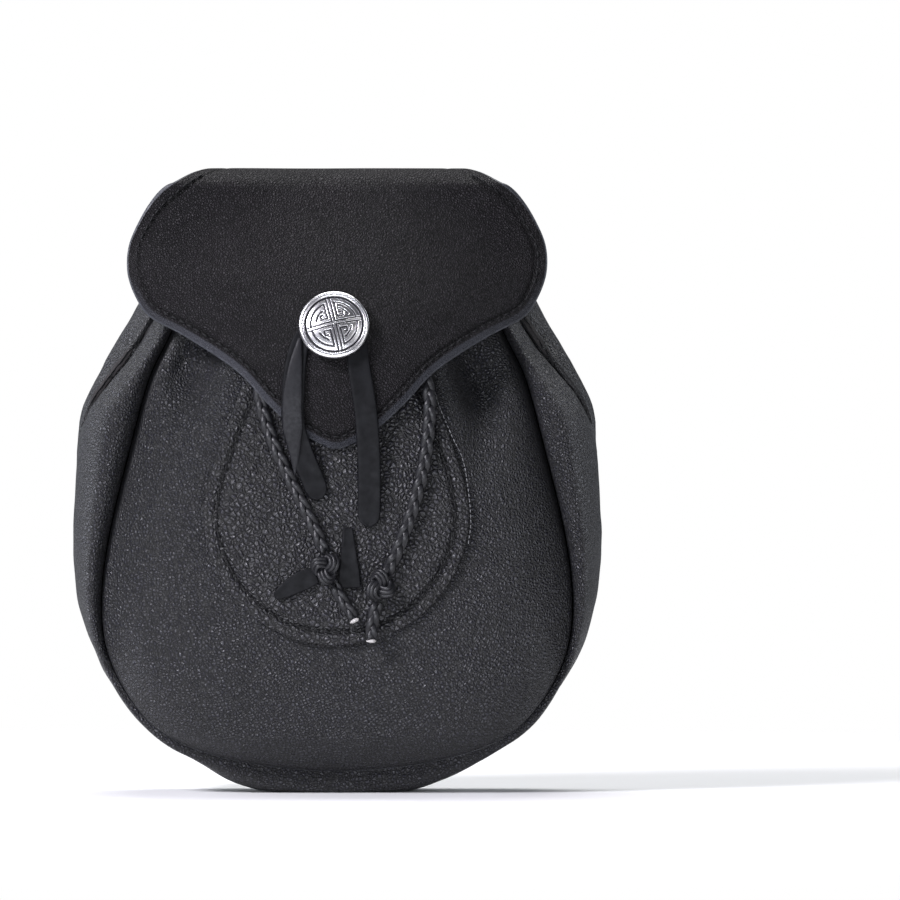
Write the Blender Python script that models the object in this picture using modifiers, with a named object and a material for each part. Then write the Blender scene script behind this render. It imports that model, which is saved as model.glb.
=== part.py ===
"""A sporran pouch: a gathered leather pouch under a stitched flap, with a cast button, flat thongs,
a braided drawcord with knotted ends, and a riveted hanger plate with two D-rings on its back.

The pouch stands on its gusset with its front to -Y. Lengths are in metres.
"""

import math

import bmesh
import bpy
import numpy as np
from mathutils import Matrix, Vector

# The pouch
POUCH_WIDTH = 0.217  # across the gusset, where it is widest
MOUTH_HEIGHT = 0.236  # from the floor to the gusset's top edge
SEAM_DEPTH = 0.050  # between the front and the back seam, where they are furthest apart
FRONT_BULGE = 0.023  # how far the filled front stands out past its seam
BACK_FLAT_FOOT = 0.445 * MOUTH_HEIGHT  # the back is flat above this height
BACK_DRAW_REACH = 0.021  # and drawn in over this much below its mouth
PANEL_WALL = 0.0016
SEAM_GAP = 0.0004
SEAM_LAP = 0.0009  # room behind a panel's edge for the gusset's edge
MOUTH_ARCH = 0.006  # rise of the front panel's top edge between its corners
MOUTH_RUFFLE = 0.0012  # half the depth of the small gathers along the mouth
MOUTH_RUFFLES = 4
BACK_NECK_RISE = 0.0075  # the back panel's top edge above its corners
BACK_DRAW = 0.0098  # how far the drawcord draws the back panel in, near the mouth

# Ribs of the pouch, from the mouth's corner down to the middle of the bottom. Each holds the front
# seam, the gusset's ridge and the back seam, as shares of half the width, of the mouth's height and
# of the seam depth, then how far the gusset rolls forward and outward out of the front seam, how
# sharply it is creased along its ridge, and how far it rolls outward beside the back seam.
RIB_COLUMNS = (
    "front_x", "front_z", "front_y", "ridge_x", "ridge_z", "ridge_y", "back_x", "back_z", "back_y",
    "roll_forward", "roll_outward", "crease", "back_roll",
)  # fmt: skip
RIBS = (
    (0.411, 1.000, -0.22, 0.561, 0.997, 0.00, 0.612, 1.000, 0.22, 0.12, 0.06, 0.90, 0.03),
    (0.461, 0.958, -0.22, 0.581, 0.954, 0.00, 0.627, 0.961, 0.22, 0.12, 0.06, 0.90, 0.03),
    (0.553, 0.873, -0.24, 0.673, 0.869, -0.06, 0.719, 0.877, 0.28, 0.22, 0.06, 1.00, 0.03),
    (0.636, 0.784, -0.26, 0.774, 0.788, -0.10, 0.820, 0.784, 0.34, 0.30, 0.06, 1.00, 0.03),
    (0.700, 0.729, -0.30, 0.871, 0.729, -0.12, 0.862, 0.720, 0.38, 0.36, 0.06, 0.80, 0.05),
    (0.747, 0.652, -0.36, 0.968, 0.663, -0.10, 0.876, 0.657, 0.44, 0.40, 0.06, 0.35, 0.09),
    (0.793, 0.568, -0.40, 0.986, 0.580, -0.06, 0.894, 0.568, 0.48, 0.40, 0.06, 0.10, 0.10),
    (0.848, 0.466, -0.42, 1.000, 0.466, 0.00, 0.908, 0.458, 0.50, 0.38, 0.06, 0.00, 0.10),
    (0.885, 0.356, -0.44, 0.994, 0.356, 0.00, 0.903, 0.348, 0.52, 0.32, 0.06, 0.00, 0.10),
    (0.876, 0.262, -0.48, 0.938, 0.262, 0.00, 0.876, 0.254, 0.52, 0.18, 0.07, 0.00, 0.08),
    (0.811, 0.187, -0.52, 0.843, 0.184, 0.00, 0.802, 0.169, 0.52, 0.06, 0.08, 0.00, 0.06),
    (0.682, 0.110, -0.54, 0.714, 0.110, 0.00, 0.664, 0.110, 0.50, 0.00, 0.10, 0.00, 0.06),
    (0.479, 0.068, -0.52, 0.516, 0.047, 0.00, 0.498, 0.066, 0.48, 0.00, 0.14, 0.00, 0.12),
    (0.249, 0.046, -0.48, 0.267, -0.007, 0.00, 0.249, 0.061, 0.44, 0.00, 0.16, 0.00, 0.18),
    (0.000, 0.038, -0.46, 0.000, -0.011, 0.00, 0.000, 0.060, 0.42, 0.00, 0.16, 0.00, 0.18),
)  # fmt: skip
CORNER_RIB = 11  # where a panel's side edge hands over to its bottom edge
SIDE_STEPS = 13
BOTTOM_STEPS = 22
GUSSET_STEPS = 6
RIDGE_HANDLE = 0.46  # share of the seam depth that the gusset runs level at its ridge
REAR_HANDLE = 0.28

# How far the front panel stands out, as shares of FRONT_BULGE, at shares of its height
FRONT_PROFILE = (
    (0.00, 0.00), (0.06, 0.42), (0.14, 0.72), (0.25, 0.92), (0.38, 1.00), (0.52, 0.97),
    (0.64, 0.89), (0.75, 0.76), (0.85, 0.52), (0.93, 0.22), (1.00, 0.00),
)  # fmt: skip
FRONT_SQUARENESS = 4.5  # how flat the front stays before it rolls into its side seams
BACK_SQUARENESS = 6.0

# The drawn-in folds of the front panel. A fold runs straight from the mouth to its foot: across
# as shares of half the width, up as a share of the mouth's height, and its half width and depth as
# shares of the front's bulge. Ridges have a negative depth.
FOLD_COLUMNS = ("mouth_x", "foot_x", "foot_z", "half_width", "depth")
FOLDS = (
    (-0.30, -0.585, 0.66, 0.36, 0.42),
    (-0.26, -0.430, 0.66, 0.30, -0.06),
    (0.30, 0.560, 0.64, 0.36, 0.42),
    (0.26, 0.420, 0.66, 0.30, -0.06),
)  # fmt: skip

# The flap and the round that it ends in on the back
FLAP_WALL = 0.0024
REST_GAP = 0.0005  # between pieces that lie on each other
ROLL_RADIUS = 0.0155
ROLL_HEADROOM = 0.020  # from the gusset's top edge to the top of the roll
ROLL_Y = -0.003
FLAP_TOP = MOUTH_HEIGHT + ROLL_HEADROOM
ROLL_Z = FLAP_TOP - ROLL_RADIUS
BACK_LEAN = math.radians(9)  # how far the back leans forward, from the bottom to the roll
FLAP_DROP = 0.1152  # from the top of the roll to the tongue's tip
FLAP_WIDTH = 0.1716
FLAP_ROOM = 0.0145  # the most that the flap stands off the front panel, over gathers and cords
FLAP_BOW = 0.018  # how far its edges bend back where it is widest
ROUND_DROP = 0.1414
ROUND_WIDTH = 0.1126

# The flap's front, from the tongue's tip up: how far down, how far off the panel, half width, and
# how far its edges bend back, as shares of the flap's drop, room, half width and bow
FLAP_FRONT = (
    (1.000, 0.395, 0.035, 0.000),
    (0.983, 0.438, 0.105, 0.011),
    (0.942, 0.541, 0.192, 0.033),
    (0.885, 0.667, 0.280, 0.067),
    (0.816, 0.817, 0.367, 0.122),
    (0.747, 0.943, 0.443, 0.200),
    (0.694, 1.008, 0.530, 0.333),
    (0.647, 1.040, 0.629, 0.528),
    (0.599, 1.038, 0.746, 0.750),
    (0.534, 1.007, 0.868, 0.972),
    (0.469, 0.932, 0.946, 1.000),
    (0.373, 0.873, 0.993, 0.917),
    (0.282, 0.813, 1.000, 0.778),
    (0.193, 0.693, 0.951, 0.528),
    (0.117, 0.586, 0.886, 0.278),
)  # fmt: skip
# The roll: its angle back from the front, and its share of the flap's half width
FLAP_ROLL = (
    (32, 0.804), (52, 0.732), (70, 0.670), (88, 0.615), (106, 0.565), (124, 0.530), (142, 0.501),
    (160, 0.484),
)  # fmt: skip
# The back, from the roll down: how far down and half width, as shares of the round's
FLAP_BACK = (
    (0.127, 0.732), (0.205, 0.737), (0.318, 0.817), (0.410, 0.909), (0.502, 0.973), (0.608, 1.000),
    (0.714, 0.973), (0.806, 0.888), (0.884, 0.746), (0.941, 0.568), (0.976, 0.391), (0.994, 0.213),
    (1.000, 0.053),
)  # fmt: skip
FLAP_COLUMNS = 10

# The stitched patch on the front: shares of its height and of its half width, from its foot up
PATCH_WALL = 0.0012
PATCH_GAP = 0.0009
PATCH_FOOT = 0.0612  # above the floor
PATCH_HEIGHT = 0.1148
PATCH_WIDTH = 0.1070
PATCH_OUTLINE = (
    (0.000, 0.075), (0.020, 0.299), (0.068, 0.523), (0.155, 0.748), (0.277, 0.916), (0.425, 1.000),
    (0.564, 0.968), (0.704, 0.875), (0.861, 0.748), (1.000, 0.654),
)  # fmt: skip

# The button on its post
BUTTON_ACROSS = -0.0008
BUTTON_DROP = 0.0668  # from the top of the roll
BUTTON_RADIUS = 0.01425
BUTTON_PROFILE = (  # radius as a share of the button's, height above its back in mm
    (0.00, 4.3), (0.30, 4.1), (0.60, 3.3), (0.76, 2.4), (0.79, 2.3), (0.82, 2.7), (0.85, 2.7),
    (0.88, 2.2), (0.91, 2.2), (0.94, 2.6), (0.97, 2.5), (1.00, 1.7), (1.00, 0.9), (0.97, 0.0),
)  # fmt: skip
POST_RADIUS = 0.0020
POST_CAP_RADIUS = 0.0050
POST_CAP_THICKNESS = 0.0012
HOLE_CLEARANCE = 0.0004

# The thongs: across and up at points down their middle, as seen from the front
THONG_WIDTH = 0.008
THONG_THICKNESS = 0.0012
THONG_LEFT = (
    (-0.0085, 0.1905), (-0.0138, 0.1850), (-0.0163, 0.1750), (-0.0174, 0.1620), (-0.0172, 0.1500),
    (-0.0140, 0.1390), (-0.0096, 0.1285), (-0.0068, 0.1205),
)  # fmt: skip
THONG_RIGHT = (
    (0.0050, 0.1905), (0.0080, 0.1840), (0.0096, 0.1720), (0.0120, 0.1560), (0.0132, 0.1400),
    (0.0135, 0.1250), (0.0132, 0.1095),
)  # fmt: skip

# The drawcord: its neck run, then its two free ends, across and up, down to their knots
CORD_RADIUS = 0.0020
CORD_LIFT = CORD_RADIUS + 0.0004
CORD_HEIGHT_FRONT = MOUTH_HEIGHT - 0.006
CORD_HEIGHT_BACK = MOUTH_HEIGHT + 0.0015
CORD_END_X = 0.0255  # where the neck run ends and the free ends start
CORD_LEFT = (
    (-0.0255, 0.2270), (-0.0275, 0.2100), (-0.0300, 0.1900), (-0.0315, 0.1720), (-0.0305, 0.1590),
    (-0.0262, 0.1450), (-0.0205, 0.1320), (-0.0140, 0.1190), (-0.0085, 0.1080), (-0.0052, 0.1000),
)  # fmt: skip
CORD_RIGHT = (
    (0.0255, 0.2270), (0.0280, 0.2100), (0.0320, 0.1900), (0.0355, 0.1740), (0.0378, 0.1600),
    (0.0372, 0.1450), (0.0350, 0.1310), (0.0315, 0.1175), (0.0270, 0.1045), (0.0228, 0.0945),
    (0.0205, 0.0905),
)  # fmt: skip
SLOT_HEIGHT = ROLL_Z + 0.0057  # where the drawcord comes out through the flap behind the plate
SLOT_X = 0.0078
SLOT_WIDTH = 0.0116
SLOT_TALL = 0.0056

# The knots, their tails and the tabs caught in the left one: across and up
KNOT_LEFT = (-0.0041, 0.0921)
KNOT_RIGHT = (0.0180, 0.0850)
KNOT_RADIUS = 0.0056
TAIL_LEFT = ((-0.0010, 0.0860), (0.0022, 0.0800), (0.0058, 0.0745), (0.0075, 0.0710))
TAIL_RIGHT = ((0.0168, 0.0785), (0.0155, 0.0740), (0.0145, 0.0680), (0.0143, 0.0628))
TAIL_RADIUS = 0.0024
TAB_LOW = ((-0.0105, 0.0885), (-0.0160, 0.0855), (-0.0243, 0.0808))
TAB_HIGH = ((0.0048, 0.1080), (0.0052, 0.0960), (0.0055, 0.0845))

# The hanger plate on the back: shares of its half width, and of its height from its top down
PLATE_THICKNESS = 0.0022
PLATE_WIDTH = 0.0604
PLATE_HEIGHT = 0.0510
PLATE_TOP = ROLL_Z + 0.004
PLATE_OUTLINE = (
    (0.278, 0.041), (0.351, 0.000), (1.000, 0.225), (0.894, 0.480), (0.781, 0.755), (0.709, 0.902),
    (0.649, 0.971), (0.530, 1.000),
)  # fmt: skip
SHOULDER = slice(1, 3)  # the slanted edge that a ring hangs from
LOOP_INNER = 0.0017
LOOP_WALL = 0.0017
LOOP_MARGIN = 0.0021  # the loop stops short of the shoulder's ends
LOOP_SIDES = 20
TAB_INSET = 0.0003  # the loop's end, folded down over the plate, is this much narrower than the loop
TAB_TAPER = 0.0037
TAB_DROP = 0.019
TAB_TOP = REST_GAP + 2 * PLATE_THICKNESS - 0.0004
RING_WIRE = 0.0011
RING_BAR = 0.0226  # along the middle of the bar
RING_RISE = 0.0125
RIVET_SPOTS = {"top": (0.0146, PLATE_TOP - 0.0160), "bottom": (0.0107, PLATE_TOP - 0.0395)}
RIVET_CAP = 0.0045
RIVET_CAP_THICKNESS = 0.0013
RIVET_SHANK = 0.0014


def clear_scene():
    for thing in list(bpy.data.objects):
        bpy.data.objects.remove(thing, do_unlink=True)


def new_collection(name):
    made = bpy.data.collections.new(name)
    bpy.context.scene.collection.children.link(made)
    return made


def finish_material(name, colour, roughness, metallic=0.0):
    made = bpy.data.materials.new(name)
    made.use_nodes = True
    shader = made.node_tree.nodes["Principled BSDF"]
    shader.inputs["Base Color"].default_value = (*colour, 1.0)
    shader.inputs["Roughness"].default_value = roughness
    shader.inputs["Metallic"].default_value = metallic
    return made


# Curves and surfaces of the pouch


def smooth_row(rows, place):
    """The row at a fractional place in a table, on a Catmull-Rom curve through its rows."""
    last = len(rows) - 1
    index = min(int(place), last - 1)
    share = place - index
    before, start, end, after = (rows[min(max(index + k, 0), last)] for k in (-1, 0, 1, 2))
    if index == 0:
        before = 2 * start - end
    if index == last - 1:
        after = 2 * end - start
    return 0.5 * (
        2 * start
        + (end - before) * share
        + (2 * before - 5 * start + 4 * end - after) * share**2
        + (3 * start - before - 3 * end + after) * share**3
    )


def whole_rib_table():
    """The ribs all the way round, from the mouth's corner at -X to the one at +X, in metres."""
    half = np.array(RIBS)
    scale = {"x": POUCH_WIDTH / 2, "z": MOUTH_HEIGHT, "y": SEAM_DEPTH}
    for column, name in enumerate(RIB_COLUMNS):
        if name[-2:] in ("_x", "_y", "_z"):
            half[:, column] *= scale[name[-1]]
        elif name != "crease":
            half[:, column] *= SEAM_DEPTH
    other = half[-2::-1].copy()
    for name in ("front_x", "ridge_x", "back_x"):
        half[:, RIB_COLUMNS.index(name)] *= -1
    return np.concatenate([half, other])


RIB_TABLE = whole_rib_table()
LAST_RIB = len(RIB_TABLE) - 1


def rib_at(place):
    return dict(zip(RIB_COLUMNS, smooth_row(RIB_TABLE, place)))


def rib_point(rib, line):
    return np.array([rib[line + "_x"], rib[line + "_y"], rib[line + "_z"]])


def rib_places():
    """Places of the stations along the seams: down one side, across the bottom, up the other."""
    return np.concatenate(
        [
            np.linspace(0, CORNER_RIB, SIDE_STEPS + 1)[:-1],
            np.linspace(CORNER_RIB, LAST_RIB - CORNER_RIB, BOTTOM_STEPS + 1)[:-1],
            np.linspace(LAST_RIB - CORNER_RIB, LAST_RIB, SIDE_STEPS + 1),
        ]
    )


def seam_at_height(line):
    """Half the seam's width and its depth, as two functions of the height above the floor."""
    points = np.array([rib_point(rib_at(p), line) for p in np.linspace(LAST_RIB / 2, LAST_RIB, 200)])
    order = np.argsort(points[:, 2])
    width, depth, height = points[order].T
    return (
        lambda z: np.interp(z, height, width),
        lambda z: np.interp(z, height, depth),
        height[0],
    )


FRONT_HALF_WIDTH, FRONT_SEAM_Y, FRONT_LOW = seam_at_height("front")
BACK_HALF_WIDTH, BACK_SEAM_Y, BACK_LOW = seam_at_height("back")


def fold_depth(x, z):
    """How far the drawn-in folds sink the front panel at (x, z)."""
    sunk = 0.0
    for row in FOLDS:
        fold = dict(zip(FOLD_COLUMNS, row))
        foot_z = fold["foot_z"] * MOUTH_HEIGHT
        along = (z - foot_z) / (MOUTH_HEIGHT - foot_z)
        if along <= -0.35:
            continue
        middle = (fold["foot_x"] + (fold["mouth_x"] - fold["foot_x"]) * max(along, 0)) * POUCH_WIDTH / 2
        across = (x - middle) / (fold["half_width"] * FRONT_BULGE)
        fade = np.interp(along, (-0.35, 0.0, 0.35, 1.0), (0.0, 0.55, 1.0, 0.6))
        sunk += fold["depth"] * FRONT_BULGE * fade * math.exp(-across * across)
    return sunk


def front_y(x, z):
    """The front panel's outer face."""
    top = MOUTH_HEIGHT + MOUTH_ARCH
    up = (z - FRONT_LOW) / (top - FRONT_LOW)
    across = min(abs(x) / max(FRONT_HALF_WIDTH(z), 1e-6), 1.0)
    shares, bulges = zip(*FRONT_PROFILE)
    bulge = FRONT_BULGE * np.interp(up, shares, bulges) * (1 - across**FRONT_SQUARENESS)
    ruffle = math.cos(x / POUCH_WIDTH * 2 * math.pi * MOUTH_RUFFLES * 2)
    drawn = MOUTH_RUFFLE * ruffle * np.interp(z, (0.85 * MOUTH_HEIGHT, top), (0, 1)) * (1 - across**4)
    return FRONT_SEAM_Y(z) - bulge + fold_depth(x, z) * (1 - across**8) + drawn


def back_y(x, z):
    """The back panel's outer face: flat under the flap's back, and drawn in near the mouth."""
    across = min(abs(x) / max(BACK_HALF_WIDTH(z), 1e-6), 1.0)
    seam = BACK_SEAM_Y(z)
    flat = ROLL_Y + (ROLL_RADIUS - FLAP_WALL - REST_GAP) / math.cos(BACK_LEAN)
    flat += (ROLL_Z - max(z, BACK_FLAT_FOOT)) * math.tan(BACK_LEAN)
    rise = min(max((z - BACK_LOW) / (BACK_FLAT_FOOT - BACK_LOW), 0.0), 1.0)
    drawn_foot = MOUTH_HEIGHT - BACK_DRAW_REACH
    share = min(max((z - drawn_foot) / (CORD_HEIGHT_BACK - drawn_foot), 0.0), 1.0)
    drawn = BACK_DRAW * share * share * (3 - 2 * share)
    out = (flat - seam) * math.sin(rise * math.pi / 2) * (1 - across**BACK_SQUARENESS)
    return seam + out - drawn * (1 - across**2) ** 1.3


def coons_grid(left, right, bottom, top):
    """A grid of flat points between four edges. left and right run upwards, bottom and top to +X."""
    rows, columns = len(left), len(bottom)
    up = np.linspace(0, 1, rows)[:, None, None]
    across = np.linspace(0, 1, columns)[None, :, None]
    sides = left[:, None] * (1 - across) + right[:, None] * across
    ends = bottom[None] * (1 - up) + top[None] * up
    corners = (
        bottom[0] * (1 - across) * (1 - up)
        + bottom[-1] * across * (1 - up)
        + top[0] * (1 - across) * up
        + top[-1] * across * up
    )
    return sides + ends - corners


def sheet_object(name, grid, wall, material, collection, flip=False):
    """A leather sheet: the outer face as a grid of points, thickened inwards."""
    rows, columns = grid.shape[:2]
    mesh = bpy.data.meshes.new(name)
    faces = [
        (r * columns + c, r * columns + c + 1, (r + 1) * columns + c + 1, (r + 1) * columns + c)
        for r in range(rows - 1)
        for c in range(columns - 1)
    ]
    if flip:
        faces = [face[::-1] for face in faces]
    mesh.from_pydata(grid.reshape(-1, 3).tolist(), [], faces)
    made = bpy.data.objects.new(name, mesh)
    collection.objects.link(made)
    mesh.materials.append(material)
    mesh.shade_smooth()
    shell = made.modifiers.new("wall", "SOLIDIFY")
    shell.thickness = wall
    shell.offset = -1
    return made


def flat_seam(line, places):
    """The seam's points in the plane of the panel, as (x, z)."""
    return np.array([rib_point(rib_at(p), line)[[0, 2]] for p in places])


def panel_grid(line, top_rise, surface):
    """A panel's outer face inside its seam, with a top edge that arches up between its corners."""
    places = rib_places()
    side_a = flat_seam(line, places[: SIDE_STEPS + 1])[::-1]
    bottom = flat_seam(line, places[SIDE_STEPS : SIDE_STEPS + BOTTOM_STEPS + 1])
    side_b = flat_seam(line, places[SIDE_STEPS + BOTTOM_STEPS :])
    share = np.linspace(-1, 1, BOTTOM_STEPS + 1)
    top = np.stack([side_b[-1][0] * share, side_b[-1][1] + top_rise(share)], axis=1)
    flat = coons_grid(side_a, side_b, bottom, top)
    return np.array([[(x, surface(x, z), z) for x, z in row] for row in flat])


def build_front_panel(leather, collection):
    grid = panel_grid("front", lambda share: MOUTH_ARCH * (1 - share**2), front_y)
    return sheet_object("front_panel", grid, PANEL_WALL, leather, collection)


def build_back_panel(leather, collection):
    grid = panel_grid("back", lambda share: BACK_NECK_RISE * (1 - share**4), back_y)
    return sheet_object("back_panel", grid, PANEL_WALL, leather, collection, flip=True)


def bezier(points, share):
    a, b, c, d = points
    rest = 1 - share
    return a * rest**3 + 3 * b * rest**2 * share + 3 * c * rest * share**2 + d * share**3


def rib_outward(place):
    """Unit vector in the panels' plane, away from the pouch and square to the ridge."""
    step = 0.05
    ahead = rib_point(rib_at(min(place + step, LAST_RIB)), "ridge")
    behind = rib_point(rib_at(max(place - step, 0)), "ridge")
    along = ahead - behind
    return np.array([along[2], 0, -along[0]]) / math.hypot(along[0], along[2])


def gusset_section(place, fine=24):
    """The gusset's outer face at one rib, from the front seam over its ridge to the back seam."""
    rib = rib_at(place)
    outward = rib_outward(place)
    rearward = np.array([0.0, 1.0, 0.0])
    front, ridge, back = (rib_point(rib, line) for line in ("front", "ridge", "back"))
    start = front + outward * SEAM_GAP + rearward * (PANEL_WALL + SEAM_LAP)
    end = back + outward * SEAM_GAP - rearward * (PANEL_WALL + SEAM_LAP)
    crease = rib["crease"]
    level = RIDGE_HANDLE * SEAM_DEPTH
    into_crease = rearward * (1 - 0.65 * crease) + outward * 0.4 * crease
    front_half = (
        start,
        start - rearward * rib["roll_forward"] + outward * rib["roll_outward"],
        ridge - into_crease * level,
        ridge,
    )
    rear_half = (
        ridge,
        ridge + rearward * (1 - crease) * REAR_HANDLE * SEAM_DEPTH + (end - ridge) / 3 * crease,
        end + outward * rib["back_roll"] - rearward * 0.1 * SEAM_DEPTH,
        end,
    )
    shares = np.linspace(0, 1, fine)
    line = [bezier(front_half, s) for s in shares] + [bezier(rear_half, s) for s in shares[1:]]
    return np.array(line)


def along_line(points):
    """The length along a line of points, at each of them."""
    return np.concatenate([[0], np.cumsum(np.linalg.norm(np.diff(points, axis=0), axis=1))])


def resample(points, count):
    points = np.asarray(points, float)
    along = along_line(points)
    at = np.linspace(0, along[-1], count)
    return np.stack([np.interp(at, along, column) for column in points.T], axis=1)


def build_gusset(leather, collection):
    grid = np.array([resample(gusset_section(place), GUSSET_STEPS + 1) for place in rib_places()])
    grid[:, :, 2] = np.maximum(grid[:, :, 2], 0.0)
    return sheet_object("gusset", grid, PANEL_WALL, leather, collection)


# The flap


def back_plane(x, z, out=0.0):
    """A point on the flap's outer face at the back, or out from it."""
    top_y = ROLL_Y + ROLL_RADIUS / math.cos(BACK_LEAN)
    y = top_y + (ROLL_Z - z) * math.tan(BACK_LEAN)
    return np.array([x, y + out * math.cos(BACK_LEAN), z + out * math.sin(BACK_LEAN)])


def flap_front_rows():
    """Rows of height, y, half width and bow, from the tongue up."""
    rows = []
    for down, off, half, bow in FLAP_FRONT:
        z = FLAP_TOP - down * FLAP_DROP
        rows.append((z, front_y(0, z) - off * FLAP_ROOM, half * FLAP_WIDTH / 2, bow * FLAP_BOW))
    return np.array(rows)


FLAP_FRONT_ROWS = flap_front_rows()


def flap_sections():
    """Rows of y, z, half width and how far the edges bend back, from the tongue to the round."""
    rows = [(y, z, half, bow) for z, y, half, bow in FLAP_FRONT_ROWS]
    for angle, half in FLAP_ROLL:
        turn = math.radians(angle)
        y = ROLL_Y - ROLL_RADIUS * math.cos(turn)
        rows.append((y, ROLL_Z + ROLL_RADIUS * math.sin(turn), half * FLAP_WIDTH / 2, 0))
    for down, half in FLAP_BACK:
        z = FLAP_TOP - down * ROUND_DROP
        rows.append((back_plane(0, z)[1], z, half * ROUND_WIDTH / 2, 0))
    return np.array(rows)


def flap_grid(per_row=1, columns=FLAP_COLUMNS):
    sections = flap_sections()
    places = np.linspace(0, len(sections) - 1, (len(sections) - 1) * per_row + 1)
    across = np.linspace(-1, 1, columns + 1)
    rows = []
    for y, z, half, bow in (smooth_row(sections, place) for place in places):
        rows.append([(half * u, y + bow * u * u, z) for u in across])
    return np.array(rows)


def flap_front_y(x, z):
    """The flap's outer face on the front."""
    height = FLAP_FRONT_ROWS[:, 0]
    y, half, bow = (np.interp(z, height, FLAP_FRONT_ROWS[:, k]) for k in (1, 2, 3))
    return y + bow * min((x / half) ** 2, 1.0)


def flap_slope(z):
    """How far the flap's front leans back at a height."""
    low, high = (flap_front_y(0, z + step) for step in (-0.006, 0.006))
    return math.atan2(high - low, 0.012)


def button_frame():
    """Origin on the flap's outer face under the button, with its Z axis out of the flap."""
    x, z = BUTTON_ACROSS, FLAP_TOP - BUTTON_DROP
    lean = flap_slope(z)
    turn = Matrix.Rotation(math.pi / 2 - lean, 4, "X")
    return Matrix.Translation((x, flap_front_y(x, z), z)) @ turn


def back_frame(x, z):
    """Origin on the flap's back, with its Z axis out of the back and its Y axis up the back."""
    turn = Matrix.Rotation(math.pi, 4, "Z") @ Matrix.Rotation(math.pi / 2 - BACK_LEAN, 4, "X")
    return Matrix.Translation(back_plane(x, z)) @ turn


def cylinder(name, frame, radius, low, high, collection, sides=20):
    mesh = bpy.data.meshes.new(name)
    shape = bmesh.new()
    lift = Matrix.Translation((0, 0, (low + high) / 2))
    bmesh.ops.create_cone(
        shape, cap_ends=True, segments=sides, radius1=radius, radius2=radius, depth=high - low,
        matrix=frame @ lift,
    )  # fmt: skip
    shape.to_mesh(mesh)
    shape.free()
    made = bpy.data.objects.new(name, mesh)
    collection.objects.link(made)
    return made


def slot_block(name, centre, size, collection):
    mesh = bpy.data.meshes.new(name)
    shape = bmesh.new()
    bmesh.ops.create_cube(shape, size=1, matrix=Matrix.Translation(centre) @ Matrix.Diagonal((*size, 1)))
    shape.to_mesh(mesh)
    shape.free()
    made = bpy.data.objects.new(name, mesh)
    collection.objects.link(made)
    return made


def as_cutter(made):
    made.hide_render = True
    made.display_type = "WIRE"
    return made


def cut(target, cutters):
    for cutter in cutters:
        hole = target.modifiers.new(cutter.name, "BOOLEAN")
        hole.operation = "DIFFERENCE"
        hole.solver = "EXACT"
        hole.object = as_cutter(cutter)


def rivet_cutters(name, places, cutters, low=-0.02, high=0.02):
    radius = RIVET_SHANK + HOLE_CLEARANCE
    return [
        cylinder(f"{name}_{k}", back_frame(x, z), radius, low, high, cutters, sides=12)
        for k, (x, z) in enumerate(places)
    ]


def rivet_places(row):
    x, z = RIVET_SPOTS[row]
    return [(-x, z), (x, z)]


def build_flap(leather, collection, cutters):
    flap = sheet_object("flap", flap_grid(), FLAP_WALL, leather, collection)
    holes = rivet_cutters("flap_rivet_hole", rivet_places("top") + rivet_places("bottom"), cutters)
    holes.append(
        cylinder("flap_post_hole", button_frame(), POST_RADIUS + HOLE_CLEARANCE, -0.008, 0.008, cutters, 12)
    )
    for side in (-1, 1):
        centre = (side * SLOT_X, back_plane(0, SLOT_HEIGHT)[1] - 0.002, SLOT_HEIGHT)
        holes.append(slot_block(f"flap_slot_{side}", centre, (SLOT_WIDTH, 0.014, SLOT_TALL), cutters))
    cut(flap, holes)
    return flap


# The patch


def patch_y(x, z):
    """The patch's outer face."""
    return front_y(x, z) - PATCH_GAP - PATCH_WALL


def patch_rows():
    return np.array([(PATCH_FOOT + up * PATCH_HEIGHT, half * PATCH_WIDTH / 2) for up, half in PATCH_OUTLINE])


def patch_half_width(z):
    heights, halves = patch_rows().T
    return np.interp(z, heights, halves, left=0, right=0)


def build_patch(leather, collection, columns=10, per_row=1):
    outline = patch_rows()
    places = np.linspace(0, len(outline) - 1, (len(outline) - 1) * per_row + 1)
    grid = []
    for z, half in (smooth_row(outline, place) for place in places):
        grid.append([(half * u, patch_y(half * u, z), z) for u in np.linspace(-1, 1, columns + 1)])
    return sheet_object("front_patch", np.array(grid), PATCH_WALL, leather, collection)


# What lies on the front


def outer_y(x, z):
    """The front of whatever leather is outermost at (x, z): flap, patch or panel."""
    heights, _, halves, _ = FLAP_FRONT_ROWS.T
    if heights[0] < z and abs(x) < np.interp(z, heights, halves):
        return flap_front_y(x, z)
    if abs(x) < patch_half_width(z):
        return patch_y(x, z)
    return front_y(x, z)


def clear_of(surface, x, z, reach):
    """The surface's foremost y near (x, z)."""
    steps = (-reach, 0, reach)
    return min(surface(x + a, z + b) for a in steps for b in steps)


def hull_forward(along, forward):
    """The line that a limp strap takes over a row of supports: it never bends into a hollow."""
    count = len(along)
    line = forward.copy()
    for a in range(count):
        for b in range(a + 2, count):
            between = np.arange(a + 1, b)
            chord = np.interp(along[between], along[[a, b]], forward[[a, b]])
            line[between] = np.minimum(line[between], chord)
    return line


def draped(points, width, lift, surface, count):
    """A line of (x, z) points laid on a surface, lift in front of it over its whole width."""
    flat = smooth_line(points, 90)
    forward = np.array([clear_of(surface, x, z, width / 2) - lift for x, z in flat])
    forward = hull_forward(along_line(flat), forward)
    return resample(np.stack([flat[:, 0], forward, flat[:, 1]], axis=1), count)


def smooth_line(points, count):
    """A smooth line through a few points, in equal steps."""
    points = np.asarray(points, float)
    fine = [smooth_row(points, place) for place in np.linspace(0, len(points) - 1, 12 * len(points))]
    return resample(np.array(fine), count)


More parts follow.
